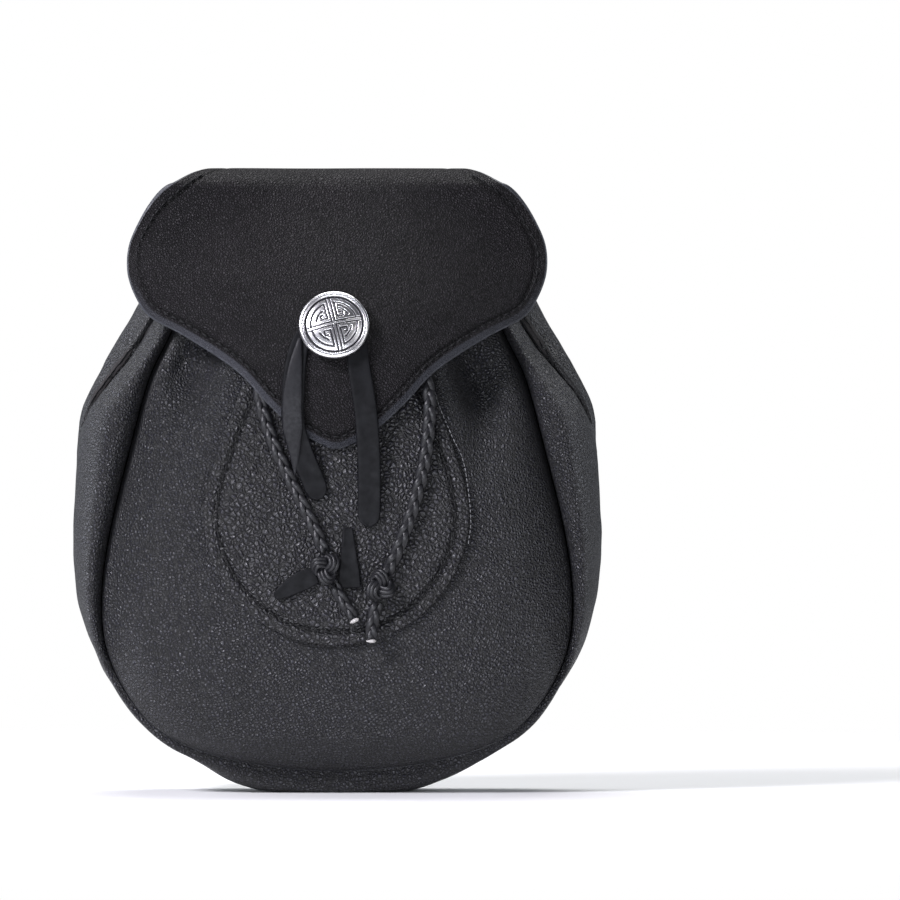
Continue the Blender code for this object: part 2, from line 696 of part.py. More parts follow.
def cross_slope(surface, x, z, side, reach):
    """How the surface slopes across a strap, per length, kept small where it steps at an edge."""
    ends = [surface(x + sign * side[0] * reach, z + sign * side[2] * reach) for sign in (-1, 1)]
    return min(max((ends[1] - ends[0]) / (2 * reach), -0.45), 0.45)


def strap_object(name, line, widths, thickness, surface, material, collection, columns=2):
    """A flat strap whose outer face follows a line down the front, laid parallel to a surface."""
    grid = []
    for point, ahead, behind, width in zip(line, [*line[1:], line[-1]], [line[0], *line[:-1]], widths):
        along = (ahead - behind) / np.linalg.norm(ahead - behind)
        side = np.cross(along, (0.0, 1.0, 0.0))
        side /= np.linalg.norm(side)
        side[1] = cross_slope(surface, point[0], point[2], side, 0.002)
        grid.append([point + side * width * u / 2 for u in np.linspace(-1, 1, columns + 1)])
    return sheet_object(name, np.array(grid), thickness, material, collection, flip=True)


def tip_widths(count, full, start=1.0, end=0.35, rounding=2):
    widths = np.full(count, full)
    for k in range(rounding):
        share = (k + 1) / (rounding + 1)
        widths[-1 - (rounding - 1 - k)] = full * (end + (1 - end) * math.sqrt(1 - share**2))
    widths[0] = full * start
    return widths


def build_thongs(leather, collection):
    for name, points in (("thong_left", THONG_LEFT), ("thong_right", THONG_RIGHT)):
        line = draped(points, 0.0008, REST_GAP + THONG_THICKNESS, outer_y, 20)
        strap_object(name, line, tip_widths(20, THONG_WIDTH), THONG_THICKNESS, flap_front_y, leather, collection)


def revolve(name, profile, frame, steps, material, collection):
    """A turned piece: (radius, height) points from the top of its axis down its outer side."""
    mesh = bpy.data.meshes.new(name)
    mesh.from_pydata([(r, 0, h) for r, h in profile], [(k, k + 1) for k in range(len(profile) - 1)], [])
    made = bpy.data.objects.new(name, mesh)
    collection.objects.link(made)
    mesh.materials.append(material)
    made.matrix_world = frame
    turn = made.modifiers.new("turn", "SCREW")
    turn.axis = "Z"
    turn.angle = 2 * math.pi
    turn.steps = steps
    turn.render_steps = steps
    turn.screw_offset = 0
    turn.use_merge_vertices = True
    turn.merge_threshold = 1e-6
    return made


def build_button(metal, collection):
    lift = 3 * REST_GAP + THONG_THICKNESS
    under = -(FLAP_WALL + REST_GAP)
    profile = [(r * BUTTON_RADIUS, lift + h / 1000) for r, h in BUTTON_PROFILE]
    profile += [
        (POST_RADIUS, lift),
        (POST_RADIUS, under),
        (POST_CAP_RADIUS, under),
        (POST_CAP_RADIUS, under - POST_CAP_THICKNESS),
        (0, under - POST_CAP_THICKNESS),
    ]
    return revolve("button", profile, button_frame(), 24, metal, collection)


def tube(name, points, radius, material, collection, closed=False, sides=2, radii=None):
    curve = bpy.data.curves.new(name, "CURVE")
    curve.dimensions = "3D"
    line = curve.splines.new("POLY")
    line.points.add(len(points) - 1)
    for k, point in enumerate(points):
        line.points[k].co = (*point, 1)
        if radii is not None:
            line.points[k].radius = radii[k]
    line.use_cyclic_u = closed
    curve.bevel_depth = radius
    curve.bevel_resolution = sides
    curve.use_fill_caps = not closed
    curve.render_resolution_u = 0
    made = bpy.data.objects.new(name, curve)
    collection.objects.link(made)
    curve.materials.append(material)
    return made


def under_flap_y(x, z):
    """The patch or panel that a cord lies on under the flap."""
    if abs(x) < patch_half_width(z):
        return patch_y(x, z)
    return front_y(x, z)


def build_free_cords(braid, collection):
    for name, points in (("drawcord_left", CORD_LEFT), ("drawcord_right", CORD_RIGHT)):
        line = draped(points, 0.005, CORD_LIFT, under_flap_y, 22)
        tube(name, line, CORD_RADIUS, braid, collection)


def neck_run():
    """The drawcord's run round the mouth on the +X side, from the front to the slot in the flap."""
    lift = CORD_LIFT + REST_GAP
    run = []
    for x in np.linspace(CORD_END_X - 0.001, FRONT_HALF_WIDTH(CORD_HEIGHT_FRONT) - 0.004, 5):
        run.append((x, clear_of(front_y, x, CORD_HEIGHT_FRONT, 0.004) - lift, CORD_HEIGHT_FRONT))
    outer = resample(gusset_section(LAST_RIB - 0.5), 9)
    for before, point, after in zip(outer[:-2], outer[1:-1], outer[2:]):
        along = after - before
        out = np.array([along[1], -along[0], 0])
        lifted = point + out / np.linalg.norm(out) * (lift + 0.0006)
        share = min(max((lifted[1] - outer[0][1]) / (outer[-1][1] - outer[0][1]), 0), 1)
        lifted[2] = CORD_HEIGHT_FRONT + (CORD_HEIGHT_BACK - CORD_HEIGHT_FRONT) * share
        run.append(tuple(lifted))
    corner = outer[-1] + (lift + 0.0012, lift + PANEL_WALL + 0.0012, 0)
    run.append((corner[0], corner[1], CORD_HEIGHT_BACK))
    for x in np.linspace(BACK_HALF_WIDTH(CORD_HEIGHT_BACK) - 0.009, SLOT_X + 0.012, 6):
        run.append((x, back_y(x, CORD_HEIGHT_BACK - 0.003) + lift, CORD_HEIGHT_BACK))
    rise = SLOT_HEIGHT - ROLL_Z
    inside = ROLL_Y + math.sqrt((ROLL_RADIUS - FLAP_WALL - CORD_LIFT) ** 2 - rise**2)
    outside = ROLL_Y + math.sqrt((ROLL_RADIUS + CORD_LIFT) ** 2 - rise**2)
    for x, share, drop in ((6.5, -0.08, 0.002), (4, 0.14, 0.0003), (1.2, 0.52, 0), (-1.8, 0.97, 0), (-4.4, 1.1, 0)):
        y = inside + (outside - inside) * share
        run.append((SLOT_X + x / 1000, y, SLOT_HEIGHT - drop))
    run.append((0, outside + 0.0008, SLOT_HEIGHT))
    return np.array(run)


def rounded(points, times):
    """A line of points with its corners cut, so that it never swings out past them."""
    for _ in range(times):
        near = points[:-1] * 0.75 + points[1:] * 0.25
        far = points[:-1] * 0.25 + points[1:] * 0.75
        cut_line = np.stack([near, far], axis=1).reshape(-1, 3)
        points = np.concatenate([points[:1], cut_line[1:-1], points[-1:]])
    return points


def build_neck_cord(braid, collection):
    half = neck_run()
    other = half[-2::-1] * (-1, 1, 1)
    line = resample(rounded(np.concatenate([half, other]), 2), 72)
    return tube("drawcord_neck", line, CORD_RADIUS, braid, collection)


def build_knots(braid, leather, collection):
    spots = (("knot_left", KNOT_LEFT), ("knot_right", KNOT_RIGHT))
    for name, (x, z) in spots:
        y = under_flap_y(x, z) - KNOT_RADIUS * 0.8 - REST_GAP - 0.0006
        profile = [
            (KNOT_RADIUS * math.sin(a) * (1 + 0.12 * math.cos(4 * a)), KNOT_RADIUS * 1.05 * math.cos(a))
            for a in np.linspace(0, math.pi, 11)
        ]
        profile[0] = (0, profile[0][1])
        profile[-1] = (0, profile[-1][1])
        squash = Matrix.Diagonal((1.0, 0.8, 1.0, 1.0))
        revolve(name, profile, Matrix.Translation((x, y, z)) @ squash, 14, braid, collection)
    for name, points in (("tail_left", TAIL_LEFT), ("tail_right", TAIL_RIGHT)):
        line = draped(points, TAIL_RADIUS, TAIL_RADIUS + 0.0012, under_flap_y, 7)
        tube(name, line, TAIL_RADIUS, leather, collection, radii=(0.8, 0.9, 1, 1, 1, 0.95, 0.85))
    widths = {"knot_tab_low": (0.0058, 0.0054, 0.0044, 0.0030), "knot_tab_high": (0.0016, 0.0040, 0.0066, 0.0085)}
    for name, points in (("knot_tab_low", TAB_LOW), ("knot_tab_high", TAB_HIGH)):
        line = draped(points, 0.004, REST_GAP + THONG_THICKNESS, under_flap_y, 4)
        strap_object(name, line, widths[name], THONG_THICKNESS, under_flap_y, leather, collection)


# The hanger on the back


def plate_rows():
    return [(x * PLATE_WIDTH / 2, PLATE_TOP - down * PLATE_HEIGHT) for x, down in PLATE_OUTLINE]


def shoulder_frame(side):
    """On the plate's slanted shoulder: X along the ring's bar, Y up the back, Z out of it."""
    (x_in, z_in), (x_out, z_out) = plate_rows()[SHOULDER]
    slope = math.atan2(z_in - z_out, x_out - x_in)
    middle = back_frame(side * (x_in + x_out) / 2, (z_in + z_out) / 2)
    return middle @ Matrix.Rotation(slope * side, 4, "Z")


def loop_height():
    """How far the ring's bar stands out from the flap's back."""
    return REST_GAP + LOOP_INNER + LOOP_WALL


def extruded(name, outline, frame, low, high, collection):
    """A solid from an outline in a frame's XY plane."""
    mesh = bpy.data.meshes.new(name)
    shape = bmesh.new()
    face = shape.faces.new([shape.verts.new(frame @ Vector((x, y, low))) for x, y in outline])
    rise = bmesh.ops.extrude_face_region(shape, geom=[face])
    up = frame.to_3x3() @ Vector((0, 0, high - low))
    for item in rise["geom"]:
        if isinstance(item, bmesh.types.BMVert):
            item.co += up
    bmesh.ops.recalc_face_normals(shape, faces=shape.faces)
    shape.to_mesh(mesh)
    shape.free()
    made = bpy.data.objects.new(name, mesh)
    collection.objects.link(made)
    return made


def build_plate(leather, collection, cutters):
    (x_in, z_in), (x_out, z_out) = plate_rows()[SHOULDER]
    middle = back_frame(0, PLATE_TOP - PLATE_HEIGHT / 2)
    into = middle.inverted()
    half = [into @ Vector(back_plane(x, z)) for x, z in plate_rows()]
    outline = [(p.x, p.y) for p in half] + [(-p.x, p.y) for p in reversed(half)]
    plate = extruded("hanger_plate", outline, middle, REST_GAP, REST_GAP + PLATE_THICKNESS, collection)
    plate.data.materials.append(leather)
    length = math.hypot(x_out - x_in, z_in - z_out) - 2 * LOOP_MARGIN
    half_tab = length / 2 - TAB_INSET
    for side, name in ((-1, "left"), (1, "right")):
        frame = shoulder_frame(side)
        across = frame @ Matrix.Translation((0, 0, loop_height())) @ Matrix.Rotation(math.pi / 2, 4, "Y")
        flat_down = across @ Matrix.Rotation(math.pi / LOOP_SIDES, 4, "Z")
        barrel = cylinder(
            f"loop_{name}", flat_down, LOOP_INNER + LOOP_WALL, -length / 2, length / 2, cutters, LOOP_SIDES
        )
        join = plate.modifiers.new(f"loop_{name}", "BOOLEAN")
        join.operation = "UNION"
        join.solver = "EXACT"
        join.object = as_cutter(barrel)
        tab = extruded(
            f"tab_{name}",
            [(-half_tab, 0), (half_tab, 0), (half_tab - TAB_TAPER, -TAB_DROP), (TAB_TAPER - half_tab, -TAB_DROP)],
            frame, REST_GAP + PLATE_THICKNESS / 2, TAB_TOP, cutters,
        )  # fmt: skip
        join = plate.modifiers.new(f"tab_{name}", "BOOLEAN")
        join.operation = "UNION"
        join.solver = "EXACT"
        join.object = as_cutter(tab)
        bore = cylinder(f"loop_bore_{name}", across, LOOP_INNER, -length, length, cutters, 16)
        cut(plate, [bore])
    cut(plate, rivet_cutters("plate_hole", rivet_places("top") + rivet_places("bottom"), cutters))
    return plate


def ring_line():
    """The D-ring's wire: a straight bar, then an arch over it."""
    half = RING_BAR / 2
    corner = RING_WIRE * 1.4
    low = math.asin(corner / RING_RISE)
    arch = [(half * math.cos(a), RING_RISE * math.sin(a)) for a in np.linspace(low, math.pi - low, 13)]
    ends = [(half - corner, 0), (half - corner * 0.3, corner * 0.3)]
    return [(0, 0), *ends, *arch, *((-x, y) for x, y in reversed(ends))]


def build_rings(metal, collection):
    for side, name in ((-1, "ring_left"), (1, "ring_right")):
        frame = shoulder_frame(side) @ Matrix.Translation((0, 0, loop_height()))
        ring = tube(name, [(x, y, 0) for x, y in ring_line()], RING_WIRE, metal, collection, closed=True)
        ring.matrix_world = frame


def build_rivets(metal, collection):
    plate_top = REST_GAP + PLATE_THICKNESS
    under_flap = -(FLAP_WALL + REST_GAP)
    under_panel = under_flap - PANEL_WALL - 2 * REST_GAP
    stacks = {"top": (TAB_TOP, under_flap), "bottom": (plate_top, under_panel)}
    for row, (high, low) in stacks.items():
        high += REST_GAP
        profile = [
            (0, high + RIVET_CAP_THICKNESS),
            (RIVET_CAP * 0.45, high + RIVET_CAP_THICKNESS * 0.93),
            (RIVET_CAP * 0.8, high + RIVET_CAP_THICKNESS * 0.66),
            (RIVET_CAP, high + RIVET_CAP_THICKNESS * 0.2),
            (RIVET_CAP, high),
            (RIVET_SHANK, high),
            (RIVET_SHANK, low),
            (RIVET_CAP * 0.8, low),
            (RIVET_CAP * 0.8, low - 0.0008),
            (0, low - 0.0008),
        ]
        for (x, z), name in zip(rivet_places(row), ("left", "right")):
            revolve(f"rivet_{row}_{name}", profile, back_frame(x, z), 14, metal, collection)


def main():
    clear_scene()
    part = new_collection("sporran_pouch")
    cutters = new_collection("cutters")
    leather = finish_material("grained_leather", (0.018, 0.018, 0.022), 0.42)
    flap_leather = finish_material("flap_leather", (0.030, 0.027, 0.026), 0.5)
    thong_leather = finish_material("thong_leather", (0.020, 0.021, 0.025), 0.6)
    braid = finish_material("braided_cord", (0.022, 0.022, 0.027), 0.4)
    bright = finish_material("bright_metal", (0.80, 0.81, 0.84), 0.2, 1.0)
    build_front_panel(leather, part)
    back = build_back_panel(leather, part)
    cut(back, rivet_cutters("back_hole", rivet_places("bottom"), cutters))
    build_gusset(leather, part)
    build_patch(leather, part)
    build_flap(flap_leather, part, cutters)
    build_button(bright, part)
    build_thongs(thong_leather, part)
    build_neck_cord(braid, part)
    build_free_cords(braid, part)
    build_knots(braid, thong_leather, part)
    build_plate(flap_leather, part, cutters)
    build_rings(bright, part)
    build_rivets(bright, part)


main()
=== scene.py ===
# %% [markdown]
# # A sporran pouch
#
# A sporran hangs in front of a kilt and does the work of a pocket. This one is black leather: a
# bag drawn shut by a braided cord, under a stitched flap with a cast button, and with two D-rings
# on its back for the chain. The solids of every piece come in first, so that each finer piece can
# be made in its right place.

# %% Load the solids
import math

import bmesh
import bpy
import numpy as np
from mathutils import Matrix, Vector, noise


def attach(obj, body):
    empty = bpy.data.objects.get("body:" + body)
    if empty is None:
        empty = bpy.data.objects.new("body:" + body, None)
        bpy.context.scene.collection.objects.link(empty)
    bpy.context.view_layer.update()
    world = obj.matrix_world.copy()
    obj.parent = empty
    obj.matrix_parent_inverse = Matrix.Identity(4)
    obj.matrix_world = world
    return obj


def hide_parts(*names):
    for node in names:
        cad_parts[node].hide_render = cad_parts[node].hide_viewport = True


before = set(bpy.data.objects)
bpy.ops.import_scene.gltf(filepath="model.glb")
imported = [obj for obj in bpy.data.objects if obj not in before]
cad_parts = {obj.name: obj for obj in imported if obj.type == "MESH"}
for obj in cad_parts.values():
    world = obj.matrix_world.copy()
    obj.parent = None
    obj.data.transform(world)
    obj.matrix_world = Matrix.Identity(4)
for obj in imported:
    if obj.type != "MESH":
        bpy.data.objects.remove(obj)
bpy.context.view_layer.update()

# %% [markdown]
# ## The camera
#
# A product picture like this is taken from a few metres away with a long lens, so that near and far
# parts keep nearly the same scale. One pixel is 0.408 mm at the pouch. The lens stands level, a bit
# to the right of the pouch and half way up it, which puts the pouch left of the middle.

# %% Camera
PIXEL = 0.000408
FRAME_PIXELS = 900
FOOT_PIXEL = (337, 793)
LENS, SENSOR = 300, 36
MIDDLE_DEPTH = -0.022
camera_data = bpy.data.cameras.new("camera")
camera_data.lens, camera_data.sensor_width = LENS, SENSOR
camera = bpy.data.objects.new("camera", camera_data)
bpy.context.scene.collection.objects.link(camera)
reach = LENS / SENSOR * FRAME_PIXELS * PIXEL
across = (FRAME_PIXELS / 2 - FOOT_PIXEL[0]) * PIXEL
height = (FOOT_PIXEL[1] - FRAME_PIXELS / 2) * PIXEL
camera.location = (across, MIDDLE_DEPTH - reach, height)
camera.rotation_euler = (math.pi / 2, 0, 0)
camera_data.clip_end = 50
bpy.context.scene.camera = camera
print("camera stands", round(reach, 2), "m away")

# %% [markdown]
# ## The form of the pouch
#
# The bag is three pieces of leather: a front, a back and one long gusset between them. Patterns like
# these are drawn as a row of ribs from the mouth down to the middle of the bottom. Each rib says
# where the two seams and the gusset's ridge are, and how the gusset rolls and creases between them.
# The same numbers, as shares of a few sizes, give the solids, so the fine leather lies on them.

# %% Sizes and ribs
POUCH_WIDTH, MOUTH_HEIGHT, SEAM_DEPTH = 0.217, 0.236, 0.050
FRONT_BULGE, PANEL_WALL = 0.023, 0.0016
SEAM_GAP, SEAM_LAP = 0.0004, 0.0009
MOUTH_ARCH, MOUTH_RUFFLE, MOUTH_RUFFLES = 0.006, 0.0012, 4
BACK_NECK_RISE, BACK_DRAW, BACK_DRAW_REACH = 0.0075, 0.0098, 0.021
BACK_FLAT_FOOT = 0.445 * MOUTH_HEIGHT
RIB_COLUMNS = (
    "front_x", "front_z", "front_y", "ridge_x", "ridge_z", "ridge_y", "back_x", "back_z", "back_y",
    "roll_forward", "roll_outward", "crease", "back_roll",
)  # fmt: skip
RIBS = (
    (0.411, 1.000, -0.22, 0.561, 0.997, 0.00, 0.612, 1.000, 0.22, 0.12, 0.06, 0.90, 0.03),
    (0.461, 0.958, -0.22, 0.581, 0.954, 0.00, 0.627, 0.961, 0.22, 0.12, 0.06, 0.90, 0.03),
    (0.553, 0.873, -0.24, 0.673, 0.869, -0.06, 0.719, 0.877, 0.28, 0.22, 0.06, 1.00, 0.03),
    (0.636, 0.784, -0.26, 0.774, 0.788, -0.10, 0.820, 0.784, 0.34, 0.30, 0.06, 1.00, 0.03),
    (0.700, 0.729, -0.30, 0.871, 0.729, -0.12, 0.862, 0.720, 0.38, 0.36, 0.06, 0.80, 0.05),
    (0.747, 0.652, -0.36, 0.968, 0.663, -0.10, 0.876, 0.657, 0.44, 0.40, 0.06, 0.35, 0.09),
    (0.793, 0.568, -0.40, 0.986, 0.580, -0.06, 0.894, 0.568, 0.48, 0.40, 0.06, 0.10, 0.10),
    (0.848, 0.466, -0.42, 1.000, 0.466, 0.00, 0.908, 0.458, 0.50, 0.38, 0.06, 0.00, 0.10),
    (0.885, 0.356, -0.44, 0.994, 0.356, 0.00, 0.903, 0.348, 0.52, 0.32, 0.06, 0.00, 0.10),
    (0.876, 0.262, -0.48, 0.938, 0.262, 0.00, 0.876, 0.254, 0.52, 0.18, 0.07, 0.00, 0.08),
    (0.811, 0.187, -0.52, 0.843, 0.184, 0.00, 0.802, 0.169, 0.52, 0.06, 0.08, 0.00, 0.06),
    (0.682, 0.110, -0.54, 0.714, 0.110, 0.00, 0.664, 0.110, 0.50, 0.00, 0.10, 0.00, 0.06),
    (0.479, 0.068, -0.52, 0.516, 0.047, 0.00, 0.498, 0.066, 0.48, 0.00, 0.14, 0.00, 0.12),
    (0.249, 0.046, -0.48, 0.267, -0.007, 0.00, 0.249, 0.061, 0.44, 0.00, 0.16, 0.00, 0.18),
    (0.000, 0.038, -0.46, 0.000, -0.011, 0.00, 0.000, 0.060, 0.42, 0.00, 0.16, 0.00, 0.18),
)  # fmt: skip
CORNER_RIB = 11
RIDGE_HANDLE, REAR_HANDLE = 0.46, 0.28
print("ribs on each side", len(RIBS))

# %% A smooth row of a table, and the ribs all the way round


def smooth_row(rows, place):
    """The row at a fractional place in a table, on a smooth curve through its rows."""
    rows = np.asarray(rows, float)
    last = len(rows) - 1
    index = min(int(place), last - 1)
    share = place - index
    start, end = rows[index], rows[index + 1]
    before = rows[index - 1] if index > 0 else 2 * start - end
    after = rows[index + 2] if index < last - 1 else 2 * end - start
    return 0.5 * (
        2 * start
        + (end - before) * share
        + (2 * before - 5 * start + 4 * end - after) * share**2
        + (3 * start - before - 3 * end + after) * share**3
    )


def whole_rib_table():
    """The ribs in metres, from the mouth down one side and up the other."""
    half = np.array(RIBS)
    scale = {"x": POUCH_WIDTH / 2, "z": MOUTH_HEIGHT, "y": SEAM_DEPTH}
    for column, name in enumerate(RIB_COLUMNS):
        if name[-2:] in ("_x", "_y", "_z"):
            half[:, column] *= scale[name[-1]]
        elif name != "crease":
            half[:, column] *= SEAM_DEPTH
    other = half[-2::-1].copy()
    for name in ("front_x", "ridge_x", "back_x"):
        half[:, RIB_COLUMNS.index(name)] *= -1
    return np.concatenate([half, other])


RIB_TABLE = whole_rib_table()
LAST_RIB = len(RIB_TABLE) - 1
RIB_PLACES = np.linspace(0, LAST_RIB, 20 * LAST_RIB + 1)
RIB_EASE = 90


def eased(rows, rounds):
    """Rows with every bend spread over its neighbours, the first and last row kept."""
    rows = rows.copy()
    for _ in range(rounds):
        rows[1:-1] = rows[1:-1] / 2 + (rows[:-2] + rows[2:]) / 4
    return rows


EASED_RIBS = eased(np.array([smooth_row(RIB_TABLE, place) for place in RIB_PLACES]), RIB_EASE)


def rib_at(place):
    """The sizes of the rib at a fractional place, by their names."""
    columns = zip(RIB_COLUMNS, EASED_RIBS.T)
    return {name: np.interp(place, RIB_PLACES, column) for name, column in columns}


def rib_point(rib, line):
    return np.array([rib[line + "_x"], rib[line + "_y"], rib[line + "_z"]])


def seam_at_height(line):
    """Heights, half widths and depths along one seam, from its lowest point up."""
    points = np.array([rib_point(rib_at(p), line) for p in np.linspace(LAST_RIB / 2, LAST_RIB, 200)])
    width, depth, height = points[np.argsort(points[:, 2])].T
    return height, width, depth


FRONT_SEAM, BACK_SEAM = seam_at_height("front"), seam_at_height("back")
print("front seam is", round(2000 * FRONT_SEAM[1].max()), "mm wide")

# %% [markdown]
# ## The front and the back
#
# The filled front bulges most at two fifths of its height and is drawn in again towards the cord.
# The cord gathers it into two deep folds, one on each side, which die out below the flap. Leather
# also creeps into small dents where a hand pushes it, so a slow noise of under a millimetre is laid
# over the folds.

# %% Front and back surfaces
FRONT_PROFILE = (
    (0.00, 0.00), (0.06, 0.42), (0.14, 0.72), (0.25, 0.92), (0.38, 1.00), (0.52, 0.97),
    (0.64, 0.89), (0.75, 0.76), (0.85, 0.52), (0.93, 0.22), (1.00, 0.00),
)  # fmt: skip
FRONT_SQUARENESS, BACK_SQUARENESS = 4.5, 6.0
FOLD_COLUMNS = ("mouth_x", "foot_x", "foot_z", "half_width", "depth")
FOLDS = (
    (-0.30, -0.585, 0.66, 0.36, 0.42),
    (-0.26, -0.430, 0.66, 0.30, -0.06),
    (0.30, 0.560, 0.64, 0.36, 0.42),
    (0.26, 0.420, 0.66, 0.30, -0.06),
)  # fmt: skip
FLAP_WALL, REST_GAP = 0.0024, 0.0005
ROLL_RADIUS, ROLL_HEADROOM, ROLL_Y = 0.0155, 0.020, -0.003
FLAP_TOP = MOUTH_HEIGHT + ROLL_HEADROOM
ROLL_Z = FLAP_TOP - ROLL_RADIUS
BACK_LEAN = math.radians(9)
CORD_HEIGHT_FRONT, CORD_HEIGHT_BACK = MOUTH_HEIGHT - 0.006, MOUTH_HEIGHT + 0.0015


def fold_depth(x, z):
    """How far the drawn-in folds sink the front panel."""
    sunk = 0.0
    for row in FOLDS:
        fold = dict(zip(FOLD_COLUMNS, row))
        foot_z = fold["foot_z"] * MOUTH_HEIGHT
        along = (z - foot_z) / (MOUTH_HEIGHT - foot_z)
        lean = fold["mouth_x"] - fold["foot_x"]
        middle = (fold["foot_x"] + lean * np.maximum(along, 0)) * POUCH_WIDTH / 2
        beside = (x - middle) / (fold["half_width"] * FRONT_BULGE)
        fade = np.interp(along, (-0.35, 0.0, 0.35, 1.0), (0.0, 0.55, 1.0, 0.6))
        sunk = sunk + fold["depth"] * FRONT_BULGE * fade * np.exp(-beside * beside)
    return sunk


def front_y(x, z):
    """The front panel's outer face."""
    top = MOUTH_HEIGHT + MOUTH_ARCH
    up = (z - FRONT_SEAM[0][0]) / (top - FRONT_SEAM[0][0])
    beside = np.minimum(np.abs(x) / np.maximum(np.interp(z, *FRONT_SEAM[:2]), 1e-6), 1.0)
    shares, bulges = zip(*FRONT_PROFILE)
    bulge = FRONT_BULGE * np.interp(up, shares, bulges) * (1 - beside**FRONT_SQUARENESS)
    ruffle = np.cos(x / POUCH_WIDTH * 2 * math.pi * MOUTH_RUFFLES * 2)
    drawn = MOUTH_RUFFLE * ruffle * np.interp(z, (0.85 * MOUTH_HEIGHT, top), (0, 1)) * (1 - beside**4)
    seam = np.interp(z, FRONT_SEAM[0], FRONT_SEAM[2])
    return seam - bulge + fold_depth(x, z) * (1 - beside**8) + drawn


def back_y(x, z):
    """The back panel's outer face: flat under the flap's back, and drawn in near the mouth."""
    beside = np.minimum(np.abs(x) / np.maximum(np.interp(z, *BACK_SEAM[:2]), 1e-6), 1.0)
    seam = np.interp(z, BACK_SEAM[0], BACK_SEAM[2])
    flat = ROLL_Y + (ROLL_RADIUS - FLAP_WALL - REST_GAP) / math.cos(BACK_LEAN)
    flat = flat + (ROLL_Z - np.maximum(z, BACK_FLAT_FOOT)) * math.tan(BACK_LEAN)
    low = BACK_SEAM[0][0]
    rise = np.clip((z - low) / (BACK_FLAT_FOOT - low), 0, 1)
    foot = MOUTH_HEIGHT - BACK_DRAW_REACH
    share = np.clip((z - foot) / (CORD_HEIGHT_BACK - foot), 0, 1)
    drawn = BACK_DRAW * share * share * (3 - 2 * share)
    out = (flat - seam) * np.sin(rise * math.pi / 2) * (1 - beside**BACK_SQUARENESS)
    return seam + out - drawn * (1 - beside**2) ** 1.3


print("front stands out to", round(1000 * float(front_y(0, 0.09)), 1), "mm")

# %% [markdown]
# ## Leather with a thickness and a soft edge
#
# Every leather piece here is a grid of points for its face. A maker's edge is never sharp: it is
# skived or rubbed round. So the grid is closed with an inner face one wall away and with a rim of
# a few rows that turn round between them. The rim and the flesh side take finishes of their own.
# Where a face has lines pressed into it, the inner face follows the grid as it was before them.

# %% Closed leather from a grid
RIM_STEPS, RIM_EASE = 4, 3
FACE, RIM, FLESH = 0, 1, 2


def grid_normals(grid):
    """Unit normals of a grid whose rows run up and whose columns run across."""
    along = np.gradient(grid, axis=0)
    beside = np.gradient(grid, axis=1)
    normal = np.cross(beside, along)
    return normal / np.maximum(np.linalg.norm(normal, axis=2, keepdims=True), 1e-12)


def border_of(rows, columns):
    """The grid's border, once round."""
    low = [(0, c) for c in range(columns - 1)]
    right = [(r, columns - 1) for r in range(rows - 1)]
    high = [(rows - 1, c) for c in range(columns - 1, 0, -1)]
    left = [(r, 0) for r in range(rows - 1, 0, -1)]
    return low + right + high + left


def closed_leather(name, grid, wall, finishes, facing, body="pouch", unpressed=None):
    """A leather piece from its face. facing is +1 where the grid's normals point outwards."""
    rows, columns = grid.shape[:2]
    base = grid if unpressed is None else unpressed
    inner = base - grid_normals(base) * facing * wall
    border = border_of(rows, columns)
    edge, under = (np.array([side[place] for place in border]) for side in (grid, inner))
    middle, half = (edge + under) / 2, (edge - under) / 2
    out = np.cross(np.roll(edge, -2, axis=0) - np.roll(edge, 2, axis=0), half) * facing
    out /= np.maximum(np.linalg.norm(out, axis=1, keepdims=True), 1e-12)
    for _ in range(RIM_EASE):
        out = out / 2 + (np.roll(out, 1, axis=0) + np.roll(out, -1, axis=0)) / 4
    out *= np.linalg.norm(half, axis=1, keepdims=True)
    verts = [grid.reshape(-1, 3), inner.reshape(-1, 3)]
    for step in range(1, RIM_STEPS):
        turn = math.pi * step / RIM_STEPS
        verts.append(middle + half * math.cos(turn) + out * math.sin(turn))
    size, count = rows * columns, len(border)
    faces, kinds = [], []
    for r in range(rows - 1):
        for c in range(columns - 1):
            low, high = r * columns + c, (r + 1) * columns + c
            face = [low, low + 1, high + 1, high]
            faces += [face, [size + k for k in reversed(face)]]
            kinds += [FACE, FLESH]
    loops = [[r * columns + c for r, c in border]]
    loops += [[2 * size + step * count + k for k in range(count)] for step in range(RIM_STEPS - 1)]
    loops.append([size + r * columns + c for r, c in border])
    for near, far in zip(loops, loops[1:]):
        for k in range(count):
            faces.append([near[(k + 1) % count], near[k], far[k], far[(k + 1) % count]])
            kinds.append(RIM)
    if facing < 0:
        faces = [face[::-1] for face in faces]
    mesh = bpy.data.meshes.new(name)
    mesh.from_pydata(np.concatenate(verts).tolist(), [], faces)
    mesh.polygons.foreach_set("material_index", kinds)
    mesh.shade_smooth()
    made = bpy.data.objects.new(name, mesh)
    bpy.context.scene.collection.objects.link(made)
    for finish in finishes:
        mesh.materials.append(finish)
    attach(made, body)
    print(name, len(mesh.polygons), "faces")
    return made


print("a rim turns round in", RIM_STEPS, "steps")
